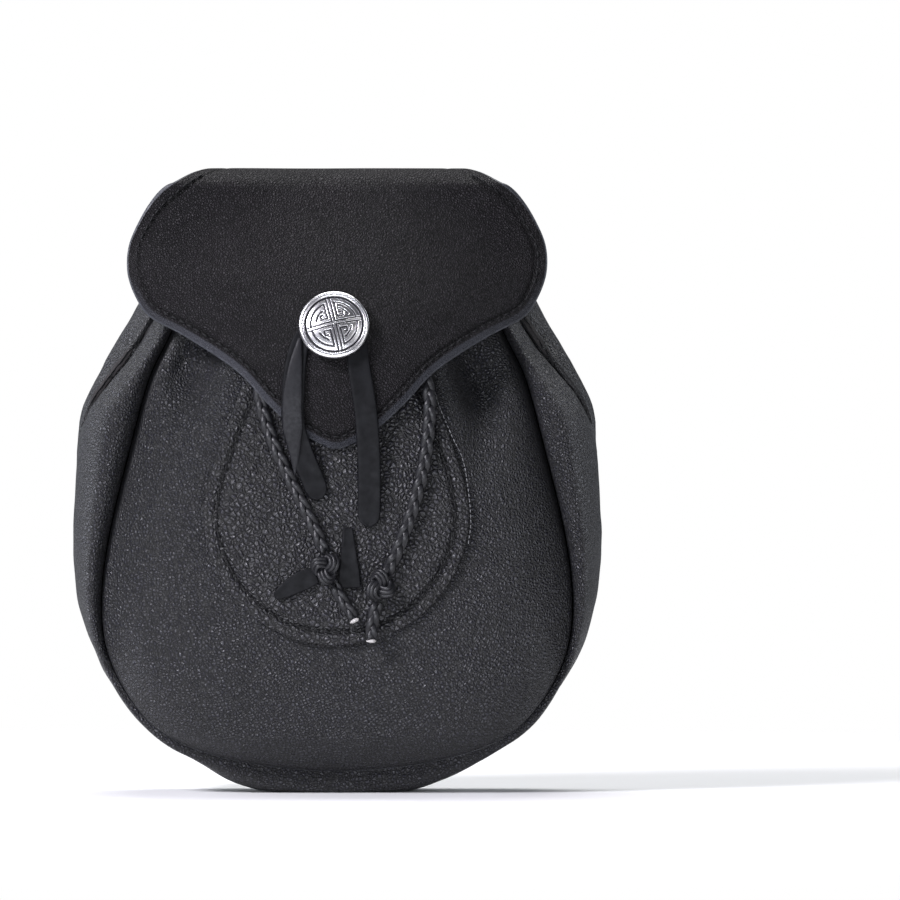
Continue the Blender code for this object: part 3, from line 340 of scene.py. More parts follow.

# %% [markdown]
# ## Finishes
#
# Leather grain is a net of fine creases around small raised pebbles. A Voronoi cell pattern gives
# the net: near a cell's edge the surface dips and is duller, and its colour is darker, partly the
# hide's own grain and partly painted shade in the crease. The crown of a pebble is a little
# polished. Its size is what tells one hide from another, so each piece has its own: 1 mm on the
# flap, 1.35 mm on the bag and 1.9 mm, deep and cracked, on the patch.
#
# Use changes a hide in places: a seam is rubbed smooth. Light and shade are also painted in
# places: the colour is darkened as painted shade in grooves, beside seams and along the gusset's
# crest, and lightened as a painted highlight on the flap's pressed edge. Such places are known when
# a piece is made, so they are kept on its points as shares from 0 to 1, and the finish reads them.

# %% Node helpers


def new_finish(name):
    made = bpy.data.materials.new(name)
    made.use_nodes = True
    nodes, links = made.node_tree.nodes, made.node_tree.links
    return made, nodes, links, nodes["Principled BSDF"]


def math_node(nodes, links, operation, first, second=None, third=None):
    made = nodes.new("ShaderNodeMath")
    made.operation = operation
    for socket, value in zip(made.inputs, (first, second, third)):
        if value is None:
            continue
        if isinstance(value, (int, float)):
            socket.default_value = value
        else:
            links.new(value, socket)
    return made.outputs[0]


def noise_node(nodes, links, where, scale, detail=2.0, roughness=0.5):
    made = nodes.new("ShaderNodeTexNoise")
    made.inputs["Scale"].default_value = scale
    made.inputs["Detail"].default_value = detail
    made.inputs["Roughness"].default_value = roughness
    links.new(where, made.inputs["Vector"])
    return made


def colour_between(nodes, links, share, dark, light):
    made = nodes.new("ShaderNodeMix")
    made.data_type = "RGBA"
    links.new(share, made.inputs["Factor"])
    for name, colour in (("A", dark), ("B", light)):
        if isinstance(colour, tuple):
            made.inputs[name].default_value = (*colour, 1)
        else:
            links.new(colour, made.inputs[name])
    return made.outputs["Result"]


def painted_share(nodes, name):
    """A share kept on the piece's own points, 0 where a piece has none."""
    made = nodes.new("ShaderNodeAttribute")
    made.attribute_name = name
    return made.outputs["Fac"]


def paint_share(piece, name, shares):
    """Keep the shares of a face's grid points on the piece, for its finish."""
    values = np.zeros(len(piece.data.vertices))
    values[: shares.size] = shares.reshape(-1)
    piece.data.attributes.new(name, "FLOAT", "POINT").data.foreach_set("value", values)


def value_between(nodes, links, share, low, high, start=0.0, end=1.0):
    made = nodes.new("ShaderNodeMapRange")
    for socket, value in zip(("From Min", "From Max", "To Min", "To Max"), (start, end, low, high)):
        made.inputs[socket].default_value = value
    links.new(share, made.inputs["Value"])
    return made.outputs["Result"]


def bump_from(nodes, links, height, strength, distance, shader):
    made = nodes.new("ShaderNodeBump")
    made.inputs["Strength"].default_value = strength
    made.inputs["Distance"].default_value = distance
    links.new(height, made.inputs["Height"])
    links.new(made.outputs["Normal"], shader.inputs["Normal"])


print("node helpers ready")

# %% Leather with pebbled grain
# The pale cool tone of a painted highlight along the flap's pressed edge.
EDGE_HIGHLIGHT_TONE = (0.031, 0.032, 0.039)
DOME_POWER = 0.65


def pebble_cells(nodes, links, where, cell):
    """How far each point is from the nearest crease, in cells, 0 to about a half."""
    warp = noise_node(nodes, links, where, 0.8 / cell)
    offset = nodes.new("ShaderNodeVectorMath")
    offset.operation = "MULTIPLY_ADD"
    links.new(warp.outputs["Color"], offset.inputs[0])
    offset.inputs[1].default_value = (cell * 0.9,) * 3
    links.new(where, offset.inputs[2])
    cells = nodes.new("ShaderNodeTexVoronoi")
    cells.feature = "DISTANCE_TO_EDGE"
    cells.inputs["Scale"].default_value = 1 / cell
    links.new(offset.outputs[0], cells.inputs["Vector"])
    return cells.outputs["Distance"]


def leather_finish(name, dark, light, cell, depth, rough, specular, crease):
    """Grained hide: round pebbles in the bump, and dull creases between them, darkened partly as painted
    shade.
    """
    made, nodes, links, shader = new_finish(name)
    where = nodes.new("ShaderNodeTexCoord").outputs["Object"]
    away = pebble_cells(nodes, links, where, cell)
    crown = value_between(nodes, links, away, 0, 1, 0, 0.5)
    dome = math_node(nodes, links, "POWER", crown, DOME_POWER)
    # The net darkens the colour in the creases: partly the grain's own tone, partly painted shade.
    net = value_between(nodes, links, away, 0, 1, 0, crease)
    fine = noise_node(nodes, links, where, 2.6 / cell, 3.0, 0.6).outputs["Fac"]
    patchy = noise_node(nodes, links, where, 90, 2.0, 0.5).outputs["Fac"]
    grain = math_node(nodes, links, "SUBTRACT", 1.0, painted_share(nodes, "smooth_share"))
    rough_dome = math_node(nodes, links, "MULTIPLY_ADD", fine, 0.25, dome)
    height = math_node(nodes, links, "MULTIPLY", rough_dome, grain)
    tone = math_node(nodes, links, "MULTIPLY_ADD", patchy, 0.35, net)
    tone = math_node(nodes, links, "MULTIPLY_ADD", fine, 0.4, tone)
    clear = value_between(nodes, links, tone, 0, 1, 0.5, 1.5)
    colour = colour_between(nodes, links, clear, dark, light)
    # Painted shade: this share darkens the colour towards the dark tone.
    colour = colour_between(nodes, links, painted_share(nodes, "painted_shade_share"), colour, dark)
    # Painted highlight: this share lightens the colour on the flap's pressed edge band.
    colour = colour_between(nodes, links, painted_share(nodes, "painted_highlight_share"), colour, EDGE_HIGHLIGHT_TONE)
    links.new(colour, shader.inputs["Base Color"])
    links.new(value_between(nodes, links, clear, rough[1], rough[0]), shader.inputs["Roughness"])
    bump_from(nodes, links, height, 1.0, depth, shader)
    shader.inputs["Specular IOR Level"].default_value = specular
    return made


BAG = leather_finish(
    "bag_leather", dark=(0.0005, 0.0005, 0.0009), light=(0.0180, 0.0180, 0.0265),
    cell=0.00135, depth=0.00062, rough=(0.24, 0.60), specular=0.50, crease=0.42,
)  # fmt: skip
HIDE_COARSE = leather_finish(
    "patch_leather", dark=(0.0005, 0.0005, 0.0008), light=(0.0220, 0.0213, 0.0290),
    cell=0.0019, depth=0.00080, rough=(0.24, 0.60), specular=0.52, crease=0.40,
)  # fmt: skip
HIDE_FLAP = leather_finish(
    "flap_leather", dark=(0.0005, 0.0004, 0.0006), light=(0.0145, 0.0125, 0.0152),
    cell=0.0010, depth=0.00036, rough=(0.38, 0.66), specular=0.18, crease=0.30,
)  # fmt: skip
print("grained leathers", BAG.name, HIDE_COARSE.name, HIDE_FLAP.name)

# %% Plain finishes: flesh side, cut edge, lace, thread and metals


def plain_finish(name, dark, light, rough, speckle, depth, metallic=0.0, specular=0.5):
    """A finish that varies a little between two tones, with a faint bump of the same speckle."""
    made, nodes, links, shader = new_finish(name)
    where = nodes.new("ShaderNodeTexCoord").outputs["Object"]
    tone = noise_node(nodes, links, where, 1 / speckle, 4.0, 0.6).outputs["Fac"]
    clear = value_between(nodes, links, tone, 0, 1, 0.3, 0.7)
    links.new(colour_between(nodes, links, clear, dark, light), shader.inputs["Base Color"])
    links.new(value_between(nodes, links, clear, rough[1], rough[0]), shader.inputs["Roughness"])
    bump_from(nodes, links, tone, 0.6, depth, shader)
    shader.inputs["Metallic"].default_value = metallic
    shader.inputs["Specular IOR Level"].default_value = specular
    return made


FLESH_SIDE = plain_finish(
    "flesh_side", (0.016, 0.015, 0.016), (0.034, 0.031, 0.031), (0.85, 0.95),
    speckle=0.0009, depth=0.0003, specular=0.2,
)  # fmt: skip
CUT_EDGE = plain_finish(
    "cut_edge", (0.008, 0.009, 0.012), (0.036, 0.038, 0.048), (0.40, 0.62),
    speckle=0.0016, depth=0.00025,
)  # fmt: skip
TURNED_EDGE = plain_finish(
    "turned_edge", (0.008, 0.008, 0.010), (0.018, 0.018, 0.022), (0.42, 0.6),
    speckle=0.0012, depth=0.0001,
)  # fmt: skip
THONG_HIDE = plain_finish(
    "thong_leather", (0.0025, 0.0026, 0.0033), (0.006, 0.0062, 0.0076), (0.50, 0.66),
    speckle=0.004, depth=0.00008, specular=0.12,
)  # fmt: skip
LACE_HIDE = plain_finish(
    "braid_leather", (0.004, 0.004, 0.005), (0.014, 0.014, 0.017), (0.36, 0.52),
    speckle=0.0012, depth=0.00010, specular=0.4,
)  # fmt: skip
LACE_CUT = plain_finish(
    "lace_cut_end", (0.20, 0.19, 0.19), (0.55, 0.53, 0.52), (0.8, 0.9),
    speckle=0.0006, depth=0.0002,
)  # fmt: skip
THREAD = plain_finish(
    "stitch_thread", (0.0015, 0.0015, 0.002), (0.004, 0.004, 0.005), (0.5, 0.65),
    speckle=0.0004, depth=0.0001, specular=0.25,
)  # fmt: skip
# Painted highlight: pale dots for the light caught along an edge beside the patch.
PAINTED_HIGHLIGHT_DOTS = plain_finish(
    "painted_highlight_finish", (0.05, 0.05, 0.055), (0.24, 0.24, 0.25), (0.5, 0.7),
    speckle=0.0011, depth=0.0001,
)  # fmt: skip
RING_STEEL = plain_finish(
    "ring_steel", (0.62, 0.63, 0.66), (0.74, 0.75, 0.78), (0.14, 0.22),
    speckle=0.003, depth=0.00002, metallic=1,
)  # fmt: skip
RIVET_STEEL = plain_finish(
    "rivet_steel", (0.60, 0.58, 0.56), (0.80, 0.78, 0.75), (0.30, 0.42),
    speckle=0.0012, depth=0.00005, metallic=1,
)  # fmt: skip
print("plain finishes ready")

# %% [markdown]
# ## The front panel
#
# The panel is cut to the seam's outline and sewn to the gusset face to face, then turned, so that
# its edge rolls back out of sight in a groove. The points crowd towards the seam, where the roll
# needs them. Small dents come from a slow noise, the creases run from the gathers, and two dimples
# lie where the cord draws the front in. Beside the seam the grain is stretched smooth, and its colour
# is darkened there as painted shade of the seam's groove.

# %% Crowded shares and a sheet between four edges
EDGE_ROLL = 0.0026
ROLL_DROP = 0.0021


def crowded(count, low=True, high=True, power=1.7):
    """Shares from 0 to 1 that crowd towards the ends that ask for it."""
    t = np.linspace(0, 1, count)
    if low and high:
        return np.where(t < 0.5, 0.5 * (2 * t) ** power, 1 - 0.5 * (2 - 2 * t) ** power)
    return t**power if low else t


def flat_seam(line, places):
    """A seam as it is seen from the front, at some places on it."""
    return np.array([rib_point(rib_at(p), line)[[0, 2]] for p in places])


def sheet_between(line, top_rise, beside, up):
    """Flat points (x, z) inside a seam, with a top edge that arches between its corners."""
    left = flat_seam(line, CORNER_RIB * (1 - up))
    right = flat_seam(line, LAST_RIB - CORNER_RIB * (1 - up))
    low = flat_seam(line, CORNER_RIB + (LAST_RIB - 2 * CORNER_RIB) * beside)
    share = 2 * beside - 1
    high = np.stack([right[-1][0] * share, right[-1][1] + top_rise(share)], axis=1)
    u, v = beside[None, :, None], up[:, None, None]
    sides = left[:, None] * (1 - u) + right[:, None] * u
    ends = low[None] * (1 - v) + high[None] * v
    corners = low[0] * (1 - u) * (1 - v) + low[-1] * u * (1 - v) + high[0] * (1 - u) * v + high[-1] * u * v
    return sides + ends - corners


def seam_distance(grid):
    """How far each point is from the nearest of the left, right and low edges."""
    away = [np.linalg.norm(grid - edge, axis=2) for edge in (grid[:, :1], grid[:, -1:], grid[:1])]
    return np.minimum.reduce(away)


def edge_roll(distance):
    """How far the turned edge has dropped at a distance from the seam."""
    inside = np.clip(1 - distance / EDGE_ROLL, 0, 1)
    return ROLL_DROP * (1 - np.sqrt(np.maximum(1 - inside**2, 0)))


def edge_distance(grid, edge):
    """How far each point of a grid is from a line of edge points."""
    flat = grid.reshape(-1, 3)
    nearest = []
    for first in range(0, len(flat), 500):
        away = flat[first : first + 500, None] - edge[None]
        nearest.append(np.sqrt((away**2).sum(2)).min(1))
    return np.concatenate(nearest).reshape(grid.shape[:2])


def open_edge(grid):
    """A sheet's edge down its left side, along its first row and up its right side."""
    line = np.concatenate([grid[::-1, 0], grid[0, 1:-1], grid[:, -1]])
    return resample(line, 5 * len(line))


def soft_share(value, soft):
    """0 below nothing, 1 above it, and a soft step between."""
    return np.clip(0.5 + value / (2 * soft), 0, 1)


def slow_noise(points, size, seed):
    """A soft noise at each point of a grid, whose swells are about a size apart."""
    flat = points.reshape(-1, 3)
    values = [noise.noise(Vector(p) / size + Vector((seed, 0, 0))) for p in flat]
    return np.array(values).reshape(points.shape[:2])


print("widest spacing across", round(1000 * 0.19 * float(np.diff(crowded(150)).max()), 2), "mm")

# %% Dimples and creases
DENT, CALM_REACH = 0.0007, 0.012
CREASE_COLUMNS = ("x", "z", "to_x", "to_z", "half_width", "depth")
FRONT_CREASES = (
    (-0.055, 0.215, -0.072, 0.150, 0.0035, 0.0011),
    (-0.040, 0.222, -0.050, 0.172, 0.0028, 0.0009),
    (0.056, 0.214, 0.074, 0.152, 0.0035, 0.0011),
    (0.041, 0.222, 0.051, 0.170, 0.0028, 0.0009),
    (-0.083, 0.100, -0.066, 0.050, 0.0050, 0.0006),
    (0.084, 0.096, 0.067, 0.048, 0.0050, 0.0006),
)
DIMPLE_COLUMNS = ("x", "z", "half_width", "half_height", "depth")
DIMPLES = ((-0.061, 0.174, 0.0082, 0.0135, 0.0074), (0.0590, 0.168, 0.0078, 0.0145, 0.0080))


def dimple_sink(x, z):
    """How far the dimples below the flap's edge sink the front."""
    sunk = np.zeros_like(x)
    for row in DIMPLES:
        dimple = dict(zip(DIMPLE_COLUMNS, row))
        beside = (x - dimple["x"]) / dimple["half_width"]
        above = (z - dimple["z"]) / dimple["half_height"]
        sunk += dimple["depth"] * np.exp(-(beside**2) - above**2)
    return sunk


def crease_sink(x, z, rows):
    """How far soft creases along straight runs sink a surface."""
    sunk = np.zeros_like(x)
    for row in rows:
        crease = dict(zip(CREASE_COLUMNS, row))
        run = np.array([crease["to_x"] - crease["x"], crease["to_z"] - crease["z"]])
        length = np.hypot(*run)
        run /= length
        along = ((x - crease["x"]) * run[0] + (z - crease["z"]) * run[1]) / length
        beside = (x - crease["x"]) * run[1] - (z - crease["z"]) * run[0]
        fade = np.clip(np.minimum((along + 0.15) / 0.3, (1.15 - along) / 0.5), 0, 1)
        sunk += crease["depth"] * fade * np.exp(-((beside / crease["half_width"]) ** 2))
    return sunk


print("creases", len(FRONT_CREASES), "dimples", len(DIMPLES))

# %% Front panel
FRONT_POINTS = 150
SMOOTH_EDGE = 0.0062
SMOOTH_HEIGHTS, SMOOTH_SHARES = (0.07, 0.12), (0.1, 1)


def front_arch(share):
    """The rise of the front's top edge between its corners."""
    return MOUTH_ARCH * (1 - share**2)


flat = sheet_between("front", front_arch, crowded(FRONT_POINTS), crowded(FRONT_POINTS, high=False))
x, z = flat[..., 0], flat[..., 1]
grid = np.stack([x, front_y(x, z), z], axis=2)
distance = seam_distance(grid)
calm = np.clip(distance / CALM_REACH, 0, 1)
dents = slow_noise(grid, 0.026, 3.1) * DENT + slow_noise(grid, 0.011, 8.7) * DENT * 0.35
sunk = dents + crease_sink(x, z, FRONT_CREASES) + dimple_sink(x, z)
grid[..., 1] += edge_roll(distance) + sunk * calm
front_panel = closed_leather("front_panel_leather", grid, PANEL_WALL, (BAG, TURNED_EDGE, FLESH_SIDE), 1)
rubbed_and_shaded = np.interp(z, SMOOTH_HEIGHTS, SMOOTH_SHARES)
smooth = 0.9 * np.exp(-((distance / SMOOTH_EDGE) ** 2)) * rubbed_and_shaded
paint_share(front_panel, "smooth_share", smooth)
# Painted shade: the colour beside the seam's groove is darkened.
paint_share(front_panel, "painted_shade_share", 0.8 * smooth)
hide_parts("front_panel")

# %% Back panel
BACK_POINTS = 140
STILL_HEIGHTS = (0.112, 0.130)
BACK_CREASES = (
    (-0.070, 0.1042, 0.045, 0.1030, 0.0012, 0.0005),
    (0.030, 0.0750, -0.060, 0.0700, 0.0035, 0.0006),
)


def back_arch(share):
    """The rise of the back's top edge between its corners."""
    return BACK_NECK_RISE * (1 - share**4)


flat = sheet_between("back", back_arch, crowded(BACK_POINTS), crowded(BACK_POINTS, high=False))
x, z = flat[..., 0], flat[..., 1]
grid = np.stack([x, back_y(x, z), z], axis=2)
distance = seam_distance(grid)
calm = np.clip(distance / CALM_REACH, 0, 1) * np.interp(z, STILL_HEIGHTS, (1, 0))
dents = slow_noise(grid, 0.030, 5.3) * DENT
grid[..., 1] -= edge_roll(distance) + (dents + crease_sink(x, z, BACK_CREASES)) * calm
back_panel = closed_leather("back_panel_leather", grid, PANEL_WALL, (BAG, TURNED_EDGE, FLESH_SIDE), -1)
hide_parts("back_panel")

# %% [markdown]
# ## The gusset
#
# One strip of leather runs down one side, under the bottom and up the other side. In the lower half
# it is a round wall. Higher up it has nowhere to go, so it rolls forward past the front seam. There
# its ridge is pinched into a narrow crest between two valleys, with a soft lobe behind it. The
# sections across it give the wall, and the crest and the lobe are added as functions of how far
# across a point is from the ridge. Along the crest the grain is smoothed, and the colour there is
# darkened as painted shade.

# %% Gusset sections


def bezier(points, share):
    """A point on a cubic curve of four points."""
    a, b, c, d = points
    rest = 1 - share
    return a * rest**3 + 3 * b * rest**2 * share + 3 * c * rest * share**2 + d * share**3


def rib_outward(place):
    """The way out of the pouch at a rib, square to the line of the ridge."""
    step = 0.05
    ahead = rib_point(rib_at(min(place + step, LAST_RIB)), "ridge")
    behind = rib_point(rib_at(max(place - step, 0)), "ridge")
    along = ahead - behind
    return np.array([along[2], 0, -along[0]]) / math.hypot(along[0], along[2])


def gusset_section(place, fine=24):
    """The gusset's outer face at one rib, from the front seam over its ridge to the back seam."""
    rib = rib_at(place)
    outward = rib_outward(place)
    rearward = np.array([0.0, 1.0, 0.0])
    front, ridge, back = (rib_point(rib, line) for line in ("front", "ridge", "back"))
    start = front + outward * SEAM_GAP + rearward * (PANEL_WALL + SEAM_LAP)
    end = back + outward * SEAM_GAP - rearward * (PANEL_WALL + SEAM_LAP)
    crease = rib["crease"]
    into_crease = rearward * (1 - 0.65 * crease) + outward * 0.4 * crease
    front_half = (
        start,
        start - rearward * rib["roll_forward"] + outward * rib["roll_outward"],
        ridge - into_crease * RIDGE_HANDLE * SEAM_DEPTH,
        ridge,
    )
    rear_half = (
        ridge,
        ridge + rearward * (1 - crease) * REAR_HANDLE * SEAM_DEPTH + (end - ridge) / 3 * crease,
        end + outward * rib["back_roll"] - rearward * 0.1 * SEAM_DEPTH,
        end,
    )
    shares = np.linspace(0, 1, fine)
    line = [bezier(front_half, s) for s in shares] + [bezier(rear_half, s) for s in shares[1:]]
    return np.array(line)


def along_line(points):
    """The length of a line up to each of its points."""
    return np.concatenate([[0], np.cumsum(np.linalg.norm(np.diff(points, axis=0), axis=1))])


def resample(points, count):
    """The same line with a number of points that lie evenly."""
    points = np.asarray(points, float)
    along = along_line(points)
    at = np.linspace(0, along[-1], count)
    return np.stack([np.interp(at, along, column) for column in points.T], axis=1)


print("gusset section is", round(1000 * along_line(gusset_section(8))[-1]), "mm from seam to seam")

# %% Gusset
GUSSET_ALONG, GUSSET_ACROSS = 240, 92
FLOOR_EASE = 0.0006
LOBE_HEIGHTS = (0.118, 0.144, 0.157, 0.175, 0.184, 0.193, 0.210)
LOBE_SHARES = (0, 0.45, 0.95, 1.0, 0.72, 0.25, 0)
CREST_HEIGHTS, CREST_SHARES = (0.140, 0.162, 0.200, 0.220), (0, 1, 1, 0)
LOBE_OUT, CREST_OUT, VALLEY_IN = 0.0034, 0.0036, 0.0032
CREST_REACH, VALLEY_REACH, EDGE_REACH = 0.022, 0.10, 0.15
SMOOTH_SHADE_REACH, SMOOTH_SHADE_HEIGHTS, SMOOTH_SHADE_SHARES = 0.11, (0.02, 0.06, 0.20, 0.22), (0, 0.8, 0.8, 0)


def bell(off, reach):
    """1 at nothing, falling softly to 0 on both sides."""
    return np.exp(-((off / reach) ** 2))


def gusset_ridge(place, row, shares):
    """The share across a row at which the ridge runs, and its height."""
    ridge = rib_point(rib_at(place), "ridge")
    return shares[np.argmin(np.linalg.norm(row - ridge, axis=1))], ridge[2]


def gusset_lobe(place, shares, at, height):
    """The pinched crest along the gusset's ridge between two valleys, and the lobe behind it."""
    outward, forward = rib_outward(place), np.array([0.0, -1.0, 0.0])
    lobe = LOBE_OUT * np.interp(height, LOBE_HEIGHTS, LOBE_SHARES)
    crest = np.interp(height, CREST_HEIGHTS, CREST_SHARES)
    behind = np.clip((shares - at) / (1 - at), 0, 1)
    out = lobe * np.sin(math.pi * behind) - crest * VALLEY_IN * bell(shares - at, VALLEY_REACH)
    line = crest * CREST_OUT * bell(shares - at, CREST_REACH)
    return out[:, None] * outward + line[:, None] * (0.5 * outward + 0.85 * forward)


places = np.linspace(0, LAST_RIB, GUSSET_ALONG)
shares = np.linspace(0, 1, GUSSET_ACROSS)
grid = np.array([resample(gusset_section(place), GUSSET_ACROSS) for place in places])
ripple = slow_noise(grid, 0.022, 1.7) * 0.0008 + slow_noise(grid, 0.010, 6.1) * 0.0003
crest_smooth_and_shade = np.zeros(grid.shape[:2])
for row, place in enumerate(places):
    at, ridge_height = gusset_ridge(place, grid[row], shares)
    row_smooth_and_shade = np.interp(ridge_height, SMOOTH_SHADE_HEIGHTS, SMOOTH_SHADE_SHARES)
    crest_smooth_and_shade[row] = row_smooth_and_shade * bell(shares - at, SMOOTH_SHADE_REACH)
    grid[row] += gusset_lobe(place, shares, at, ridge_height)
calm = np.clip(np.minimum(shares, 1 - shares) / EDGE_REACH, 0, 1)[None]
grid -= grid_normals(grid) * (ripple * calm)[..., None]
z = grid[..., 2]
grid[..., 2] = 0.5 * (z + np.sqrt(z * z + FLOOR_EASE**2))
gusset = closed_leather("gusset_leather", grid, PANEL_WALL, (BAG, TURNED_EDGE, FLESH_SIDE), 1)
# Painted shade: the colour along the crest is darkened.
paint_share(gusset, "painted_shade_share", crest_smooth_and_shade)
paint_share(gusset, "smooth_share", 0.8 * crest_smooth_and_shade)
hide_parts("gusset")

# %% [markdown]
# ## The flap
#
# The flap is one thick piece: a wide tongue in front, a roll over the mouth, and a round down the
# back that carries the hanger. Its edge is cut, not turned, so the rim shows the paler core. Round
# the tongue's lower edge a band 2 mm wide is pressed down and burnished, and its colour is
# lightened to a pale cool tone as a painted highlight. The stitches inside it lie in a groove whose
# colour is darkened as painted shade. Both are pressed into the grid, and the painted highlight and
# shade are kept on its points.

# %% Flap sections
FLAP_DROP, FLAP_WIDTH, FLAP_ROOM, FLAP_BOW = 0.1152, 0.1716, 0.0145, 0.018
ROUND_DROP, ROUND_WIDTH = 0.1414, 0.1126
FLAP_FRONT = (
    (1.000, 0.395, 0.035, 0.000),
    (0.983, 0.438, 0.105, 0.011),
    (0.942, 0.541, 0.192, 0.033),
    (0.885, 0.667, 0.280, 0.067),
    (0.816, 0.817, 0.367, 0.122),
    (0.747, 0.943, 0.443, 0.200),
    (0.694, 1.008, 0.530, 0.333),
    (0.647, 1.040, 0.629, 0.528),
    (0.599, 1.038, 0.746, 0.750),
    (0.534, 1.007, 0.898, 0.972),
    (0.469, 0.932, 0.966, 1.000),
    (0.373, 0.873, 1.004, 0.917),
    (0.282, 0.813, 1.000, 0.778),
    (0.193, 0.693, 0.951, 0.528),
    (0.117, 0.586, 0.886, 0.278),
)  # fmt: skip
FLAP_ROLL = (
    (32, 0.804), (52, 0.730), (70, 0.670), (88, 0.615), (106, 0.565), (124, 0.530), (142, 0.501),
    (160, 0.484),
)  # fmt: skip
FLAP_BACK = (
    (0.127, 0.732), (0.205, 0.737), (0.318, 0.817), (0.410, 0.909), (0.502, 0.973), (0.608, 1.000),
    (0.714, 0.973), (0.806, 0.888), (0.884, 0.746), (0.941, 0.568), (0.976, 0.391), (0.994, 0.213),
    (1.000, 0.053),
)  # fmt: skip


def back_plane(x, z, out=0.0):
    """A point on the flap's outer face at the back, or out from it."""
    top_y = ROLL_Y + ROLL_RADIUS / math.cos(BACK_LEAN)
    y = top_y + (ROLL_Z - z) * math.tan(BACK_LEAN)
    return np.array([x, y + out * math.cos(BACK_LEAN), z + out * math.sin(BACK_LEAN)])


def flap_front_rows():
    """Rows of z, y, half width and bow for the tongue, in metres."""
    rows = []
    for down, off, half, bow in FLAP_FRONT:
        z = FLAP_TOP - down * FLAP_DROP
        rows.append((z, front_y(0, z) - off * FLAP_ROOM, half * FLAP_WIDTH / 2, bow * FLAP_BOW))
    return np.array(rows, float)


FLAP_FRONT_ROWS = flap_front_rows()


def flap_sections():
    """Rows of y, z, half width and how far the edges bend back, from the tongue to the round."""
    rows = [(y, z, half, bow) for z, y, half, bow in FLAP_FRONT_ROWS]
    for angle, half in FLAP_ROLL:
        turn = math.radians(angle)
        y = ROLL_Y - ROLL_RADIUS * math.cos(turn)
        rows.append((y, ROLL_Z + ROLL_RADIUS * math.sin(turn), half * FLAP_WIDTH / 2, 0))
    for down, half in FLAP_BACK:
        z = FLAP_TOP - down * ROUND_DROP
        rows.append((back_plane(0, z)[1], z, half * ROUND_WIDTH / 2, 0))
    return np.array(rows, float)


def flap_front_y(x, z):
    """The flap's outer face on the front."""
    height = FLAP_FRONT_ROWS[:, 0]
    y, half, bow = (np.interp(z, height, FLAP_FRONT_ROWS[:, k]) for k in (1, 2, 3))
    return y + bow * np.minimum((x / half) ** 2, 1.0)


SECTIONS = flap_sections()
print("flap runs", round(1000 * along_line(SECTIONS[:, :2])[-1]), "mm from tip to tip")

# %% Flap
FLAP_STEPS, FLAP_ACROSS = 7, 130
PROFILE_EASE = 50
SWELL_SECTIONS, SWELL_SHARES = (0, 2, 10, 15, 19), (0.3, 0.6, 1, 0.6, 0)
BAND_WIDTH, BAND_DROP, BAND_SOFT, BAND_SECTIONS = 0.0022, 0.0011, 0.0003, 16
BAND_HEIGHTS, BAND_SHARES = (0.185, 0.212), (1.0, 0.0)
FLAP_STITCH_INSET, GROOVE_DEPTH, GROOVE_REACH = 0.0046, 0.00055, 0.0008


def flap_face(trim=0.0, steps=FLAP_STEPS, columns=FLAP_ACROSS):
    """The flap's outer face, its sides trimmed by a length."""
    places = np.linspace(0, len(SECTIONS) - 1, (len(SECTIONS) - 1) * steps + 1)
    share = 2 * crowded(columns + 1, power=1.5) - 1
    profile = np.array([smooth_row(SECTIONS, place) for place in places])
    profile[:, :2] = eased(profile[:, :2], PROFILE_EASE)
    rows = []
    for y, z, half, bow in profile:
        narrow = max(half - trim, 0.001)
        rows.append([(narrow * u, y + bow * (narrow / half * u) ** 2, z) for u in share])
    return np.array(rows)


grid = flap_face(trim=FLAP_WALL / 2)
section = np.arange(len(grid)) / FLAP_STEPS
front_share = np.interp(section, SWELL_SECTIONS, SWELL_SHARES)
swell = slow_noise(grid, 0.034, 2.2) * 0.0010 * front_share[:, None]
grid += grid_normals(grid) * swell[..., None]
unpressed = grid.copy()
on_front = section < BAND_SECTIONS
band_share = np.interp(grid[..., 2], BAND_HEIGHTS, BAND_SHARES) * on_front[:, None]
from_edge = edge_distance(grid, open_edge(grid))
into_band = np.clip(1 - from_edge / BAND_WIDTH, 0, 1) * band_share
in_groove = bell(from_edge - FLAP_STITCH_INSET, GROOVE_REACH)
grid -= grid_normals(grid) * (BAND_DROP * into_band + GROOVE_DEPTH * in_groove)[..., None]
finishes = (HIDE_FLAP, CUT_EDGE, FLESH_SIDE)
flap = closed_leather("flap_leather", grid, FLAP_WALL, finishes, 1, unpressed=unpressed)
# Painted highlight: the pressed band is lightened to a pale cool tone.
paint_share(flap, "painted_highlight_share", soft_share(BAND_WIDTH - from_edge, BAND_SOFT) * band_share)
# Painted shade: the stitch groove is darkened.
paint_share(flap, "painted_shade_share", 0.7 * in_groove)
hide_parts("flap")

# %% [markdown]
# ## The patch
#
# A patch of shrunken hide is stitched to the front. It is soft, so its edge is rolled down to
# nothing outside the stitches, and inside them it is puffed up a little in uneven blisters.

# %% Patch
PATCH_WALL, PATCH_GAP = 0.0012, 0.0009
PATCH_FOOT, PATCH_HEIGHT, PATCH_WIDTH = 0.0612, 0.1148, 0.1070
PATCH_OUTLINE = (
    (0.000, 0.075), (0.020, 0.299), (0.068, 0.523), (0.155, 0.748), (0.277, 0.916), (0.425, 1.000),
    (0.564, 0.968), (0.704, 0.875), (0.861, 0.748), (1.000, 0.654),
)  # fmt: skip
STITCH_INSET, STITCH_SINK, STITCH_REACH = 0.0052, 0.0010, 0.0011
PUFF_REACH, BLISTER = 0.005, 0.0007
THIN_EDGE, THIN_REACH = 0.0004, 0.0020


def patch_rows():
    """Heights and half widths of the patch, from its foot up."""
    return np.array(PATCH_OUTLINE) * (PATCH_HEIGHT, PATCH_WIDTH / 2) + (PATCH_FOOT, 0)


def patch_half_width(z):
    heights, halves = patch_rows().T
    return np.interp(z, heights, halves, left=0, right=0)


